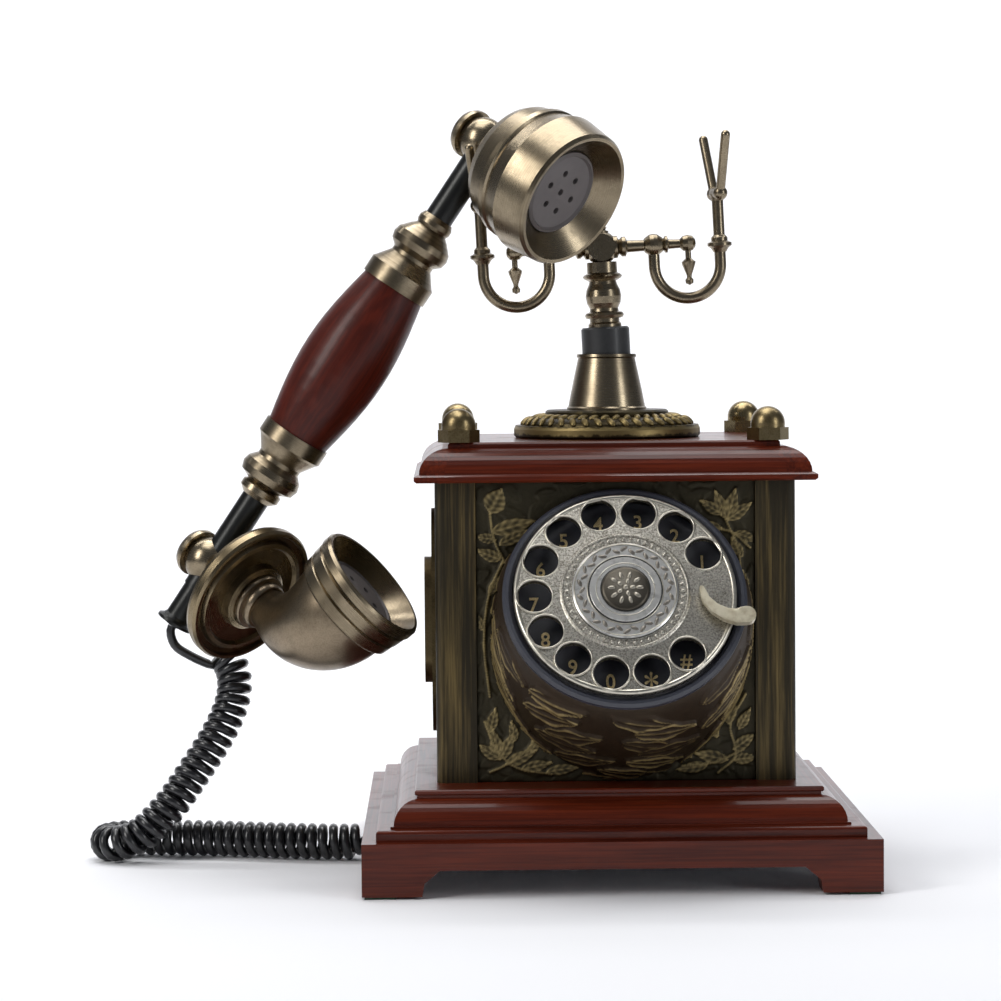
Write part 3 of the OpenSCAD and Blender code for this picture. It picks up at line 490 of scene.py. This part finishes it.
def panel_height(u, v):
    v = v + CASE_H / 2
    height = 0.10 * np.sin(u * 1.3 + np.sin(v * 0.35) * 1.5)
    height = np.clip(height, 0, 1)
    for x, z, angle, length, width in low_leaves:
        height = np.maximum(height, leaf(u, v, (x, z), angle, length, width, 0.95))
    for x, z, angle, length, width in panel_leaves:
        height = np.maximum(height, leaf(u, v, (x, z), angle, length * 1.12, width * 1.3, 1.9))
    for points in panel_stems:
        height = np.maximum(height, stem(u, v, points, 0.95, 1.05))
    edge = np.minimum(PANEL_W / 2 - np.abs(u), np.minimum(v, CASE_H - v))
    return height * np.clip(edge / 1.2, 0, 1)


front = (Matrix.Translation(Vector((0, PANEL_Y, CASE_Z + CASE_H / 2)) * MM)
         @ Matrix.Rotation(math.pi / 2, 4, "X"))
front_mesh = relief_sheet("front_leaves", (PANEL_W, CASE_H), (208, 224), panel_height, front)
backed(finished("front_leaves", front_mesh, gold_leaves, "case"), 0.3 * MM)


# ------------------------------------------------------------------ side panels
# The same cast panels with a raised cartouche in the middle and a spray of leaves
# above and below it.
SIDE_W, SIDE_X = 90.0, 69.5


def side_height(u, v):
    round_edge = np.clip(1 - np.abs((u / 36) ** 4 + (v / 50) ** 4 - 0.92) / 0.10, 0, 1)
    height = 0.8 * np.sqrt(round_edge)
    height = np.maximum(height, np.clip(0.1 * np.sin(v * 1.1 + np.sin(u * 0.3)), 0, 1))
    for k in range(14):
        angle = 360 / 14 * k
        a = math.radians(angle)
        height = np.maximum(height, leaf(u, v, (23 * math.cos(a), 32 * math.sin(a)), angle + 24, 13, 5.6, 1.7))
    for su in (-1, 1):
        for sv in (-1, 1):
            for turn in (-36, 0, 36):
                heading = math.degrees(math.atan2(sv * 12, su * 9)) + turn
                height = np.maximum(height, leaf(u, v, (su * 32, sv * 44), heading, 11, 4.8, 1.4))
    edge = np.minimum(SIDE_W / 2 - np.abs(u), CASE_H / 2 - np.abs(v))
    return height * np.clip(edge / 1.2, 0, 1)


for side, name in ((1, "right_leaves"), (-1, "left_leaves")):
    face = Matrix.Translation(Vector((side * SIDE_X, 0, CASE_Z + CASE_H / 2)) * MM) \
        @ Matrix.Rotation(side * math.pi / 2, 4, "Z") @ Matrix.Rotation(math.pi / 2, 4, "X")
    backed(finished(name, relief_sheet(name, (SIDE_W, CASE_H), (120, 160), side_height, face),
                    gold_leaves, "case"), 0.3 * MM)

# ------------------------------------------------------------------ dial
# A pressed finger wheel, plated and then darkened in its pits, with rolled rims at
# the finger holes, turns over an enamelled number plate inside a cast bowl.
DIAL_Z, DIAL_TILT, HOLE_R, HOLE_CIRCLE, PLATE_W = 114.2, 31.7, 6.75, 34.9, -3.5
FACE_W, FIRST_HOLE, HOLE_STEP = 4.25, 28, 360 / 14
dial_face = (Matrix.Translation(Vector((2, -87, DIAL_Z)) * MM)
             @ Matrix.Rotation(math.radians(90 - DIAL_TILT), 4, "X"))
dial_axis = (dial_face.to_3x3() @ Vector((0, 0, 1))).normalized()
dial_centre = dial_face.translation
hole_angles = [math.radians(FIRST_HOLE + HOLE_STEP * k) for k in range(12)]
hole_centres = [(HOLE_CIRCLE * math.cos(a), HOLE_CIRCLE * math.sin(a)) for a in hole_angles]


def turned(profile, steps=96, angle=2 * math.pi):
    """Spins a profile of (radius, height) points in millimetres round Z."""
    bm = bmesh.new()
    points = [bm.verts.new((r * MM, 0, h * MM)) for r, h in profile]
    edges = [bm.edges.new(pair) for pair in zip(points, points[1:])]
    bmesh.ops.spin(bm, geom=points + edges, axis=(0, 0, 1), cent=(0, 0, 0), angle=angle, steps=steps,
                   use_merge=angle > 6)
    bmesh.ops.remove_doubles(bm, verts=bm.verts, dist=1e-6)
    bmesh.ops.recalc_face_normals(bm, faces=bm.faces)
    return bm


def closed_ring(profile, steps=96):
    """Spins a closed section, whose last point joins its first, round Z."""
    return turned([*profile, profile[0]], steps)


def bead(radius, rise, at, sides=10, rings=4):
    """A low dome in millimetres with a flat underside, standing at a place on a flat face."""
    dome = [(radius * math.cos(a), rise * math.sin(a)) for a in np.linspace(-0.3, math.pi / 2, rings + 1)]
    bm = turned([(0, dome[0][1]), *dome[:-1], (0, rise)], sides)
    bmesh.ops.translate(bm, vec=Vector(at) * MM, verts=bm.verts)
    return bm


def gathered(parts, place=None, name="gathered"):
    """Joins several bmeshes into one mesh."""
    whole = bmesh.new()
    for bm in parts:
        part = bpy.data.meshes.new("part")
        bm.to_mesh(part)
        bm.free()
        whole.from_mesh(part)
        bpy.data.meshes.remove(part)
    return mesh_of(name, whole, place)


def antique_silver():
    f = Finish("antique_silver", Metallic=1.0)
    grit, cloud = f.noise(1350, detail=3.0, roughness=0.7), f.noise(150, detail=3.0)
    pits = f.cells(1100)
    dark = (1.0 - grit.between(0.40, 0.58)) * 0.75 + cloud.between(0.55, 0.75) * 0.25
    color = f.blend(dark, (0.60, 0.57, 0.50), (0.13, 0.115, 0.09))
    return f.surface(color, dark * 0.18 + 0.30, grit + pits * 0.4, 0.00012, 0.8)


def bright_silver(name, color, roughness):
    f = Finish(name, Metallic=1.0)
    cloud = f.noise(300, detail=4.0)
    rings = f.node("TexNoise", {"noise_dimensions": "1D"},
                   {"W": f.off_axis(dial_axis, dial_centre) * 5200.0, "Scale": 1.0, "Detail": 2.0})
    return f.surface(f.blend(cloud.between(0.45, 0.8), color, tuple(c * 0.55 for c in color)),
                     cloud * 0.14 + roughness, rings, 0.000015, 0.6)


def enamel(name, color, sheen, roughness, coat):
    f = Finish(name, Coat_Weight=coat, Coat_Roughness=0.15)
    dust = f.noise(500, detail=5.0)
    return f.surface(f.blend(dust, color, sheen), dust * 0.12 + roughness, f.noise(1400), 0.00002, 0.4)


pitted_silver = antique_silver()
rim_silver = bright_silver("rim_silver", (0.60, 0.565, 0.48), 0.24)
dress(pitted_silver, "finger_wheel")
dress(bright_silver("cap_silver", (0.70, 0.69, 0.66), 0.26), "wheel_cap")
rim_profile = [(HOLE_R - 0.1, -1.2), (HOLE_R - 0.05, 0.1), (HOLE_R + 0.25, 0.34), (HOLE_R + 0.6, 0.30),
               (HOLE_R + 0.95, -0.3)]
hole_rims = []
for centre in hole_centres:
    rim = turned(rim_profile, 40)
    bmesh.ops.translate(rim, vec=Vector((*centre, FACE_W)) * MM, verts=rim.verts)
    hole_rims.append(rim)
wheel_edge = turned([(40.9, 3.6), (41.2, 4.15), (41.9, 4.35), (42.7, 4.1), (43.0, 3.4), (43.0, 2.6)], 128)
backed(finished("finger_hole_rims", gathered([*hole_rims, wheel_edge], dial_face, "finger_hole_rims"),
                rim_silver, "dial"), 0.2 * MM)

ring_parts = [closed_ring([(24.7, 4.8), (24.7, 5.2), (24.2, 5.42), (23.7, 5.2), (23.7, 4.8)]),
              closed_ring([(20.9, 4.8), (20.9, 5.15), (20.6, 5.25), (20.4, 4.8)])]
for k in range(48):
    a = 2 * math.pi * k / 48
    scallop = bead(1.15, 0.5, (22.3, 0, 5.0), 8, 3)
    bmesh.ops.scale(scallop, vec=(1, 0.72, 1), verts=scallop.verts)
    bmesh.ops.rotate(scallop, matrix=Matrix.Rotation(a, 3, "Z"), verts=scallop.verts)
    ring_parts.append(scallop)
finished("scalloped_ring", gathered(ring_parts, dial_face, "scalloped_ring"), pitted_silver, "dial")

# A wreath of small leaves on the cap's outer band, two thin rings, and a rosette of
# petals on the dark button in its middle.
wreath = []
for k in range(36):
    petal = bead(1.2, 0.42, (0, 0, 0), 8, 3)
    bmesh.ops.scale(petal, vec=(1.55, 0.7, 1), verts=petal.verts)
    lean = math.radians(90 + (34 if k % 2 else -34))
    bmesh.ops.rotate(petal, matrix=Matrix.Rotation(lean, 3, "Z"), verts=petal.verts)
    bmesh.ops.translate(petal, vec=Vector((17.2 + (0.55 if k % 2 else -0.55), 0, 6.25)) * MM, verts=petal.verts)
    bmesh.ops.rotate(petal, matrix=Matrix.Rotation(2 * math.pi * k / 36, 3, "Z"), verts=petal.verts)
    wreath.append(petal)
finished("cap_wreath", gathered(wreath, dial_face, "cap_wreath"),
         bright_silver("darkened_silver", (0.24, 0.22, 0.19), 0.34), "dial")
dark_rings = [closed_ring([(r - w, z - 0.4), (r - w, z), (r + w, z), (r + w, z - 0.4)])
              for r, z, w in ((20.15, 5.32, 0.45), (14.05, 6.75, 0.3), (9.4, 7.12, 0.3))]
finished("dark_rings", gathered(dark_rings, dial_face, "dark_rings"),
         enamel("groove_wax", (0.008, 0.007, 0.006), (0.02, 0.018, 0.014), 0.5, 0.0), "dial")
cap_rings = [closed_ring([(r - 0.28, 6.2), (r - 0.15, z), (r + 0.15, z), (r + 0.28, 6.2)])
             for r, z in ((19.6, 6.62), (14.6, 6.62), (11.2, 7.05))]
finished("cap_rings", gathered(cap_rings, dial_face, "cap_rings"), rim_silver, "dial")
button = [turned([(0, 6.6), (9.25, 6.6), (9.25, 7.35), (8.9, 7.75), (8.0, 8.0), (0.0, 8.45)], 64)]
for ring, count, radius, length in ((5.4, 10, 1.25, 1.55), (2.7, 5, 1.2, 1.2)):
    for k in range(count):
        petal = bead(radius, 0.75, (0, 0, 0), 8, 3)
        bmesh.ops.scale(petal, vec=(length, 0.8, 1), verts=petal.verts)
        bmesh.ops.translate(petal, vec=Vector((ring, 0, 8.0 + (5.4 - ring) * 0.08)) * MM, verts=petal.verts)
        bmesh.ops.rotate(petal, matrix=Matrix.Rotation(2 * math.pi * k / count, 3, "Z"), verts=petal.verts)
        button.append(petal)
button.append(bead(1.2, 0.9, (0, 0, 8.3)))


def dark_button():
    f = Finish("dark_button", Metallic=1.0)
    grit = f.noise(900, detail=4.0)
    high = f.along(dial_axis, dial_centre).between(0.0079, 0.0088)
    color = f.blend(high, (0.085, 0.075, 0.06), (0.40, 0.37, 0.31))
    return f.surface(color, grit * 0.2 + 0.32, grit, 0.00005, 0.5)


finished("cap_button", gathered(button, dial_face, "cap_button"), dark_button(), "dial")


dress(enamel("number_plate_enamel", (0.010, 0.010, 0.014), (0.022, 0.022, 0.028), 0.42, 0.2), "number_plate")
dress(enamel("bezel_enamel", (0.022, 0.024, 0.034), (0.040, 0.043, 0.058), 0.34, 0.35), "bezel_ring")
dress(enamel("collar_enamel", (0.014, 0.015, 0.016), (0.030, 0.031, 0.032), 0.40, 0.1), "plunger_collar")


def numeral(text, at, size):
    """Mesh of one upright numeral, laid on the number plate."""
    curve = bpy.data.curves.new("numeral", "FONT")
    curve.body, curve.size, curve.extrude, curve.offset = text, size * MM, 0.12 * MM, 0.00012
    curve.align_x, curve.align_y, curve.resolution_u = "CENTER", "CENTER", 4
    drawn = link("numeral", curve)
    mesh = bpy.data.meshes.new_from_object(drawn)
    bpy.data.objects.remove(drawn)
    centre = np.array([v.co for v in mesh.vertices])
    middle = (centre.min(0) + centre.max(0)) / 2
    bm = bmesh.new()
    bm.from_mesh(mesh)
    bpy.data.meshes.remove(mesh)
    bmesh.ops.translate(bm, vec=-Vector(middle), verts=bm.verts)
    bmesh.ops.scale(bm, vec=(0.86, 1, 1), verts=bm.verts)
    bmesh.ops.remove_doubles(bm, verts=bm.verts, dist=1e-7)
    bmesh.ops.translate(bm, vec=Vector((at[0], at[1], PLATE_W + 0.08)) * MM, verts=bm.verts)
    return bm


def numeral_gold():
    f = Finish("numeral_gold", Metallic=0.25)
    wear = f.noise(2200, detail=3.0)
    color = f.blend(wear.between(0.4, 0.7), (0.85, 0.66, 0.33), (0.50, 0.37, 0.17))
    return f.surface(color, 0.5, wear, 0.00003, 0.5)


numerals = [numeral(text, centre, 14.5 if text == "*" else 8.8)
            for text, centre in zip("1234567890*#", hole_centres)]
numeral_mesh = gathered(numerals, dial_face, "dial_numerals")
numeral_mesh.shade_flat()
finished("dial_numerals", numeral_mesh, numeral_gold(), "case")


def worn_ivory_painted_shade_post():
    f = Finish("ivory_plate_painted_shade_post", Metallic=0.6, Coat_Weight=0.4, Coat_Roughness=0.15)
    cloud = f.noise(220, detail=5.0)
    # The finger stop's post, below 5.5 mm along the dial's axis, is painted near black as shade; only the blade
    # above it shows the worn ivory.
    unshaded_blade = f.along(dial_axis, dial_centre).between(0.0055, 0.0064)
    worn = f.blend(cloud.between(0.4, 0.75), (0.72, 0.66, 0.50), (0.44, 0.37, 0.24))
    return f.surface(f.blend(unshaded_blade, (0.02, 0.018, 0.016), worn),
                     cloud * 0.2 + 0.25, f.noise(1200), 0.00004, 0.4)


dress(worn_ivory_painted_shade_post(), "finger_stop")

# ------------------------------------------------------------------ dial bowl
# The cast bowl behind the dial, covered with overlapping wavy leaves laid round it,
# varnished dark brown with gold left along the veins and edges.
bowl_profile = [(43.8, -1.9), (46.6, -1.9), (48.6, -7.9), (49.8, -18), (50.4, -30), (50.0, -44), (48.3, -60),
                (46.4, -76)]
leaf_rows = [(10, 9, 0), (19, 8, 14), (28, 9, 3), (37, 8, 22), (46, 9, 8), (55, 8, 0), (64, 9, 12)]
bowl_route = smooth_route([(r, 0, w) for r, w in bowl_profile], 0.8 * MM)
BOWL_STEPS = 440
bowl_bm = turned([(r / MM, w / MM) for r, _, w in bowl_route], BOWL_STEPS)
flat = np.array([v.co for v in bowl_bm.verts]) / MM
around = np.degrees(np.arctan2(flat[:, 1], flat[:, 0]))
down = -flat[:, 2]


def wavy_leaf(a, b, lift):
    """Height of a leaf with a rippled edge; a runs 0 to 1 along it and b is -1 to 1 across."""
    ripple = 1 + 0.14 * np.sin(a * 15)
    reach = np.where((a > 0) & (a < 1), np.sin(math.pi * np.clip(a, 0, 1) ** 0.8) * ripple, 0) + 1e-6
    t = np.clip(np.abs(b) / reach, 0, 1)
    ridge = np.exp(-((t - 0.78) / 0.19) ** 2) + 0.8 * np.exp(-(b / 0.16) ** 2)
    return np.where(t < 1, lift * (0.30 + 0.70 * np.minimum(ridge, 1)), 0)


bowl_lift = np.zeros(len(flat))
random.seed(7)
for row, (depth, count, shift) in enumerate(leaf_rows):
    for k in range(count):
        middle = 360 / count * k + shift + random.uniform(-5, 5)
        tilt = math.radians(random.uniform(8, 30) * (1 if (k + row) % 2 else -1))
        du = ((around - middle + 180) % 360 - 180) * math.pi / 180 * 49
        dv = down - depth - random.uniform(-1.5, 1.5)
        a = (du * math.cos(tilt) + dv * math.sin(tilt)) / 27 + 0.5
        b = (dv * math.cos(tilt) - du * math.sin(tilt)) / 5.6
        leaf_lift = wavy_leaf(a, b, random.uniform(1.2, 1.7))
        bowl_lift = np.where(leaf_lift > 0, leaf_lift, bowl_lift)
bowl_lift *= np.clip((down - 5.5) / 2.5, 0, 1)
for vert, h in zip(bowl_bm.verts, bowl_lift):
    out = Vector((vert.co.x, vert.co.y, 0)).normalized()
    vert.co += out * h * MM
raised = bowl_bm.verts.layers.float.new("raised")
for vert, h in zip(bowl_bm.verts, bowl_lift):
    vert[raised] = h
bmesh.ops.transform(bowl_bm, matrix=dial_face, verts=bowl_bm.verts)
bmesh.ops.bisect_plane(bowl_bm, geom=bowl_bm.verts[:] + bowl_bm.edges[:] + bowl_bm.faces[:],
                       plane_co=(0, (PANEL_Y + 0.6) * MM, 0), plane_no=(0, 1, 0), clear_outer=True)
bowl = backed(finished("dial_bowl", mesh_of("dial_bowl", bowl_bm),
                       rubbed_relief("varnished_bronze", (0.022, 0.013, 0.006), (0.40, 0.30, 0.13), 0.82, 1.50),
                       "case"), 1.2 * MM)
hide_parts("dial_housing")

# ------------------------------------------------------------------ brass
# Turned and cast brass, brushed round each part's own axis on the lathe, then
# darkened with an antique patina and lacquered.
def antique_brass(name, axis=None, centre=(0, 0, 0), bright=(0.30, 0.246, 0.168), dark=(0.088, 0.068, 0.043),
                  gloss=0.25):
    f = Finish(name, Metallic=1.0)
    tarnish, patch = f.noise(42, detail=5.0, roughness=0.6), f.noise(380, detail=3.0)
    if axis is None:
        brushed = f.noise(1600, detail=3.0)
    else:
        rings = f.along(axis, centre) * 3800.0 + f.off_axis(axis, centre) * 3100.0
        brushed = f.node("TexNoise", {"noise_dimensions": "1D"}, {"W": rings, "Scale": 1.0, "Detail": 3.0})
    patina = (tarnish.between(0.38, 0.72) * 0.55 + brushed.between(0.35, 0.75) * 0.30
              + patch.between(0.5, 0.8) * 0.2)
    return f.surface(f.blend(patina, bright, dark), patina * 0.16 + gloss, brushed, 0.00002, 0.45)


handset_place = (Matrix.Translation(Vector((-51.7, -0.8, 288.3)) * MM)
                 @ Matrix.Rotation(math.radians(-42.3), 4, "Z") @ Matrix.Rotation(math.radians(27.6), 4, "Y")
                 @ Matrix.Rotation(math.radians(-20.5), 4, "X"))


def handset(s):
    """Frame of the handset's rod at a height along it, in millimetres."""
    return handset_place @ Matrix.Translation((0, 0, (s - 230.1) * MM))


def axis_of(place, local=(0, 0, 1)):
    return (place.to_3x3() @ Vector(local)).normalized()


sideways = Matrix.Rotation(math.pi / 2, 4, "Y")
ear = handset(235.8) @ Matrix.Translation((-3 * MM, 0, 0)) @ sideways
mouth = handset(29.4) @ sideways
cup = (handset(29.4) @ Matrix.Translation(Vector((73.6, 0, 35.5)) * MM)
       @ Matrix.Rotation(math.radians(19), 4, "Y"))
dress(antique_brass("column_brass", (0, 0, 1)), "guide_cone", "column")
dress(antique_brass("cast_brass"), "cradle_arms", "cradle_hooks", "cradle_forks")
dress(antique_brass("nut_brass", bright=(0.34, 0.265, 0.14), dark=(0.11, 0.078, 0.035)), "acorn_nuts")
dress(antique_brass("relief_brass", bright=(0.16, 0.12, 0.06), dark=(0.04, 0.03, 0.014), gloss=0.38),
      "side_reliefs")
dress(antique_brass("ferrule_brass", axis_of(handset_place), handset_place.translation),
      "grip_ferrules", "rod_balls")
dress(antique_brass("shell_brass", axis_of(ear), ear.translation), "ear_shell")
dress(antique_brass("cup_brass", axis_of(cup), cup.translation), "mouth_cup")
dress(antique_brass("plate_brass", axis_of(mouth), mouth.translation, (0.26, 0.205, 0.125),
                    (0.065, 0.048, 0.027)), "mouth_plate")

# The transmitter's horn: a turned collar on the plate, then a cast elbow that widens
# smoothly and turns up into the cup.
BEND_R, BEND, STRAIGHT_X, COLLAR_X = 28.6, math.radians(71), 68 - 28.6 * math.sin(math.radians(71)), 33.0
horn_radii = np.polyfit(range(9), [7.6, 9.6, 12.4, 15, 17.2, 19, 20.4, 21.4, 22], 3)
horn_steps = [(COLLAR_X + (STRAIGHT_X - COLLAR_X) * t, 0.0, t) for t in np.linspace(0, 1, 6)[:-1]] \
    + [(STRAIGHT_X, BEND * t, 1 + 7 * t) for t in np.linspace(0, 1, 40)]
HORN_SIDES = 64
horn, horn_rings = bmesh.new(), []
for k, (x, b, stage) in enumerate(horn_steps):
    centre = Vector((x + BEND_R * math.sin(b), 0, BEND_R * (1 - math.cos(b))))
    across, ahead = Vector((-math.sin(b), 0, math.cos(b))), Vector((math.cos(b), 0, math.sin(b)))
    turn = Matrix((across, Vector((0, -1, 0)), ahead)).transposed().to_4x4()
    ring = bmesh.ops.create_circle(horn, cap_ends=k in (0, len(horn_steps) - 1), segments=HORN_SIDES,
                                   radius=float(np.polyval(horn_radii, stage)) * MM,
                                   matrix=Matrix.Translation(centre * MM) @ turn)["verts"]
    horn_rings.append(list({edge for vert in ring for edge in vert.link_edges}))
for one, two in zip(horn_rings, horn_rings[1:]):
    bmesh.ops.bridge_loops(horn, edges=one + two)
bmesh.ops.recalc_face_normals(horn, faces=horn.faces)
collar = turned([(0, 29.4), (11.6, 29.4), (12, 30.0), (12, 31.2), (11.6, 32), (10, 32.4), (10.2, 34.4),
                 (9.4, 35.6), (0, 35.6)])
bmesh.ops.transform(collar, matrix=sideways, verts=collar.verts)
elbow_mesh = gathered([horn, collar], handset(29.4), "horn_elbow")
elbow_mesh.set_sharp_from_angle(angle=math.radians(40))
elbow_brass = antique_brass("elbow_brass", bright=(0.27, 0.215, 0.150), dark=(0.10, 0.077, 0.050), gloss=0.28)
elbow = finished("horn_elbow", elbow_mesh, elbow_brass, "handset")
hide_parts("mouth_elbow")

# Cast wreath on the lid's flange: a ring of leaves in two rows, darkened in its hollows.
LID_TOP, WREATH_LEAVES = 173.2, 40
wreath_parts = []
for k in range(WREATH_LEAVES):
    for radius, height, lean, slope in ((33.6, 6.9, 28, 38), (28.6, 8.6, -28, 14)):
        petal = bead(2.3, 1.1, (0, 0, 0), 10, 4)
        bmesh.ops.scale(petal, vec=(1.25, 0.62, 1), verts=petal.verts)
        place = (Matrix.Rotation(2 * math.pi * (k + 0.5 * (radius < 30)) / WREATH_LEAVES, 4, "Z")
                 @ Matrix.Translation(Vector((radius, 0, LID_TOP + height)) * MM)
                 @ Matrix.Rotation(math.radians(slope), 4, "Y") @ Matrix.Rotation(math.radians(lean), 4, "Z"))
        bmesh.ops.transform(petal, matrix=place, verts=petal.verts)
        wreath_parts.append(petal)


def wreath_brass(name, low, high):
    f = Finish(name, Metallic=0.85)
    cloud, grit = f.noise(300, detail=5.0), f.noise(1200, detail=3.0)
    height = f.axes()[2] + (cloud - 0.5) * 0.003
    rubbed = height.between(low, low + 0.001) * (1.0 - height.between(high, high + 0.001)) * 0.85 \
        + cloud.between(0.58, 0.72) * 0.25
    color = f.blend(rubbed, (0.040, 0.030, 0.013), (0.30, 0.225, 0.095))
    return f.surface(color, grit * 0.15 + 0.34, grit, 0.00008, 0.6)


finished("flange_wreath", gathered(wreath_parts, None, "flange_wreath"),
         wreath_brass("wreath_brass", 0.176, 0.190), "case")
dress(wreath_brass("flange_brass", 0.1745, 0.1775), "lid_flange")

# ------------------------------------------------------------------ handset
# A steel rod with a dark gunmetal finish carries a turned hardwood grip, stained
# dark red under satin lacquer, and a grey moulded grille in each end.
def gunmetal():
    f = Finish("gunmetal_rod", Metallic=0.85)
    drawn_x = f.noise(520, detail=4.0)
    cloud = f.noise(60, detail=4.0)
    return f.surface(f.blend(cloud, (0.018, 0.019, 0.019), (0.050, 0.050, 0.048)), drawn_x * 0.14 + 0.26,
                     drawn_x, 0.00002, 0.4)


dress(gunmetal(), "handset_rod")


def grip_lacquer():
    f = Finish("grip_lacquer", Coat_Weight=0.18, Coat_Roughness=0.22, Specular_IOR_Level=0.2)
    turn = handset_place.to_3x3().inverted().to_euler()
    local = f.node("Mapping", None, {"Vector": f.place, "Rotation": tuple(turn)})
    drawn_out = f.node("Mapping", None, {"Vector": local, "Scale": (700, 700, 18)})
    grain = f.node("TexNoise", None, {"Vector": drawn_out, "Scale": 1.0, "Detail": 4.0})
    broad = f.noise(50, detail=3.0)
    return f.surface(f.blend(grain.between(0.35, 0.7) * 0.6 + broad * 0.4, (0.038, 0.0038, 0.0016),
                             (0.092, 0.0105, 0.0036)), broad * 0.1 + 0.36, grain, 0.00002, 0.3)


dress(grip_lacquer(), "handset_grip")


def moulded_grey():
    f = Finish("moulded_grey")
    grain = f.noise(2400, detail=2.0)
    color = f.blend(f.noise(90), (0.105, 0.092, 0.090), (0.165, 0.148, 0.145))
    return f.surface(color, grain * 0.1 + 0.50, grain, 0.00004, 0.5)


dress(moulded_grey(), "ear_insert", "transmitter")

# ------------------------------------------------------------------ cradle spring
# Zinc-plated coil of 1 mm wire round the plunger's rod, between the guide and the
# rod's collar.
CRADLE_LEAN_Z, SPRING_R, SPRING_Z, SPRING_PITCH, SPRING_TURNS, GUIDE_TOP = 208.0, 5.6, 141.2, 2.6, 4, 140.0
cradle_place = (Matrix.Translation((0, 0, CRADLE_LEAN_Z * MM)) @ Matrix.Rotation(math.radians(-2.6), 4, "Y")
                @ Matrix.Translation((0, 0, -CRADLE_LEAN_Z * MM)))
spring_line = []
for turn in np.linspace(0, SPRING_TURNS, 97):
    angle = 2 * math.pi * turn
    point = (SPRING_R * math.cos(angle), SPRING_R * math.sin(angle), SPRING_Z + SPRING_PITCH * turn)
    spring_line.append(cradle_place @ (Vector(point) * MM))
spring_coil = tube("spring_coil", np.array(spring_line), 1.0 * MM)
spring_coil.data.materials.append(zinc)
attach(spring_coil, "case")
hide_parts("plunger_spring")
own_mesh(spring_coil)
